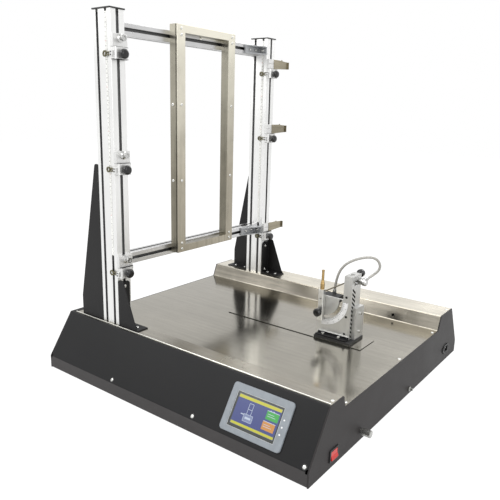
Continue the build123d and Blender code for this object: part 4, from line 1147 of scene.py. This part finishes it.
@dataclass
class ThreadClamp:
    """One clamp on a column, its knob and, on the near column, its thread pulley."""

    side: Side
    number: int
    level: float
    column_y: float
    column_right: float = -216.0
    column_half: float = 21.0
    block_t: float = 14.0
    plate_t: float = 8.0
    knob_r: float = 12.0

    @property
    def tag(self) -> str:
        """The clamp's place in node names."""
        return f"{self.side.value}_{self.number}"

    def dress_body(self) -> None:
        """Light block and plate, an eyelet darkened partly with painted shade, the far side's stainless arm
        coloured olive brown as painted shade, and thin dark boxes that paint shade in the seam lines.
        """
        front = self.column_y - self.column_half
        arm_x = self.column_right + self.plate_t
        # Eyelet faces get a dark brassy colour, partly the eyelet's own tone and partly painted shade.
        rules = [(EYELET_METAL_SHADED, lambda c, n: c.y < front - 1.2 and c.x < self.column_right + 2.5)]
        if self.side is Side.FAR:
            # The far clamp's stainless arm is coloured olive brown: painted shade.
            rules.append((ARM_STEEL_SHADED, lambda c, n: c.x > arm_x + 0.2 and c.z > self.level + 15))
        paint(f"clamp_{self.tag}", CLAMP_METAL, rules)
        # Thin dark boxes paint the shade in the seam lines round the block and plate, and two small dark
        # plates by the eyelet paint its shade.
        seam_shades = bmesh.new()
        back = self.column_y + self.column_half
        right, far_right = self.column_right, self.column_right + self.block_t
        for z in (self.level + 14.6, self.level - 12.0):
            add_box(seam_shades, mm(right + 0.3, front - 0.05, z), mm(far_right - 3.2, back + 0.05, z + 0.7))
            add_box(seam_shades, mm(right + 5, front + 3.2, z), mm(far_right + 0.05, back - 3.2, z + 0.7))
        for z in (self.level + 3, self.level - 3):
            add_box(seam_shades, mm(right + 4, front - 6.1, z - 1.6), mm(right + 8, front - 5.9, z + 1.6))
        piece(f"seams_{self.tag}", seam_shades, DARK_SCREW_AND_SEAM_SHADE, f"clamp_{self.tag}")

    def build_knob(self) -> None:
        """A ball-edged black grip on a chrome collar."""
        base = self.column_right + self.block_t
        origin = mm(base, self.column_y, self.level)
        axis = Vector((1, 0, 0))
        grip = bmesh.new()
        radius = self.knob_r - 0.5
        profile = [(2.2, 5.0), (2.2, radius * 0.62)]
        for step in range(1, 12):
            angle = math.radians(-68 + step * 136 / 12)
            profile.append((8.0 + 6.3 * math.sin(angle), radius * (0.45 + 0.55 * math.cos(angle))))
        profile += [(13.9, radius * 0.58), (14.0, radius * 0.3), (14.0, 0.0)]
        add_lathe(grip, profile, origin, axis, 36)
        knob = f"knob_{self.tag}"
        piece(f"grip_{self.tag}", grip, BALL_BLACK, knob, stands_for=(knob,))
        collar = bmesh.new()
        stem = ((-15, 0), (-15, 3.0), (0.1, 3.0), (0.1, 5.0), (0.5, 5.4), (2.3, 5.4), (2.3, 0))
        add_lathe(collar, stem, origin, axis, 28)
        piece(f"collar_{self.tag}", collar, CHROME, knob)

    def build(self) -> None:
        """Dresses the clamp and makes its knob."""
        self.dress_body()
        self.build_knob()
        if self.side is Side.NEAR:
            paint(f"pulley_{self.tag}", CHROME)


@dataclass
class BurnerCarriage:
    """Cover plate, pad, foot angle and guide that slide along the tray."""

    def build(self) -> None:
        """Dresses the carriage."""
        # The cover plate's side and under faces are near black: painted shadow of the gap round the plate.
        paint("cover_plate", COVER_STEEL, [(SHADOW_EDGE, lambda c, n: abs(n.z) < 0.5 or c.z < 111)])
        paint("carriage_pad", BLACK_MOULDED)
        # The foot angle is painted black as shade and as the black base's reflection under the plate; its top
        # face keeps bright metal.
        paint("foot_angle", BLACK_COAT, [(BURNER_METAL, lambda c, n: c.z > 126.2 and n.z > 0.9)])
        paint("guide", MACHINED)
        paint("cap_screws", SCREW_STEEL)


@dataclass
class BurnerHead:
    """Protractor plate, rack post, gas parts and the tilting burner."""

    pivot_x: float = 173.5
    pivot_z: float = 215.0
    plate_y: float = 12.0
    inner_r: float = 57.0
    outer_r: float = 71.0
    slot_r: float = 50.0

    def print_scale(self) -> None:
        """Draws the quarter circle's marks and plain numbers."""
        marks, digits = bmesh.new(), bmesh.new()
        y = self.plate_y - 0.64
        for degree in range(0, 91):
            angle = math.radians(degree - 90)
            radial = Vector((math.cos(angle), 0, math.sin(angle)))
            around = Vector((-math.sin(angle), 0, math.cos(angle)))
            length = 5.5 if degree % 10 == 0 else 4.0 if degree % 5 == 0 else 2.4
            middle = self.inner_r + 1 + length / 2
            centre = mm(self.pivot_x, y, self.pivot_z) + radial * middle * 0.001
            add_quad(marks, centre, around * 0.00013, radial * length * 0.0005)
            if degree % 15 == 0:
                spot = mm(self.pivot_x, y, self.pivot_z) + radial * (self.outer_r - 3.6) * 0.001
                add_text(digits, str(degree), spot, around, -radial, 3.2)
        piece("protractor_marks", marks, INK_BLACK, Body.HEAD.value)
        piece("protractor_numbers", digits, INK_BLACK, Body.HEAD.value)

    def build(self) -> None:
        """Dresses the head and the burner."""
        paint("protractor_plate", MACHINED, [
            # The walls of the plate's curved slot are near black: painted shade in the slot.
            (SHADOW_EDGE, lambda c, n: abs(n.y) < 0.5
                and abs(math.hypot(c.x - self.pivot_x, c.z - self.pivot_z) - self.slot_r) < 6.5),
        ])
        paint("protractor_scale", SCALE_WHITE)
        paint("rack_post", MACHINED, [
            # The faces deep in the rack post's grooves are near black: painted shade in the grooves.
            (SHADOW_EDGE, lambda c, n: 248.5 < c.x < 251.9 and c.y < 34),
        ])
        paint("plate_screws", DARK_SCREW_AND_SEAM_SHADE)
        paint("gas_block", BLACK_COAT)
        paint("hose_fitting", CHROME)
        paint("pilot_tube", TUBE_BRONZE)
        paint("burner_body", BURNER_METAL)
        paint("nozzle", BRASS)
        paint("lock_knob", BALL_BLACK)
        paint("valve_knob", BALL_BLACK)
        self.print_scale()


def thread_clamps() -> list[ThreadClamp]:
    """The clamps of both columns.

    Returns:
        Three on the near column and three on the far one, top first.
    """
    near_y, far_y = Gantry.column_ys
    near = [ThreadClamp(Side.NEAR, n, z, near_y) for n, z in enumerate((793.0, 531.0, 276.0), 1)]
    far = [ThreadClamp(Side.FAR, n, z, far_y) for n, z in enumerate((787.0, 591.0, 274.0), 1)]
    return near + far


def main() -> None:
    """Builds the studio, the hose and every sub-assembly in order."""
    logging.basicConfig(level=logging.INFO, format="%(name)s: %(message)s")
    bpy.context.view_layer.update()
    Studio().build()
    GasHose().build()
    cabinet = Cabinet()
    cabinet.build()
    TouchScreen().build(cabinet)
    SideFittings().build()
    Gantry().build()
    SpecimenFrames().build()
    for clamp in thread_clamps():
        clamp.build()
    BurnerCarriage().build()
    BurnerHead().build()


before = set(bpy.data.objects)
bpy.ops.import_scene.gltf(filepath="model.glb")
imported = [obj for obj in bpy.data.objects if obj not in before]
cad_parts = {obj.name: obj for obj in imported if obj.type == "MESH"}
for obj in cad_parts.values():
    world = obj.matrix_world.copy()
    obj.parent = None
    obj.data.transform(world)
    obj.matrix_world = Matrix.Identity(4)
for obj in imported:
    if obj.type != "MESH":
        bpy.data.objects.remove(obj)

if __name__ == "__main__":
    main()
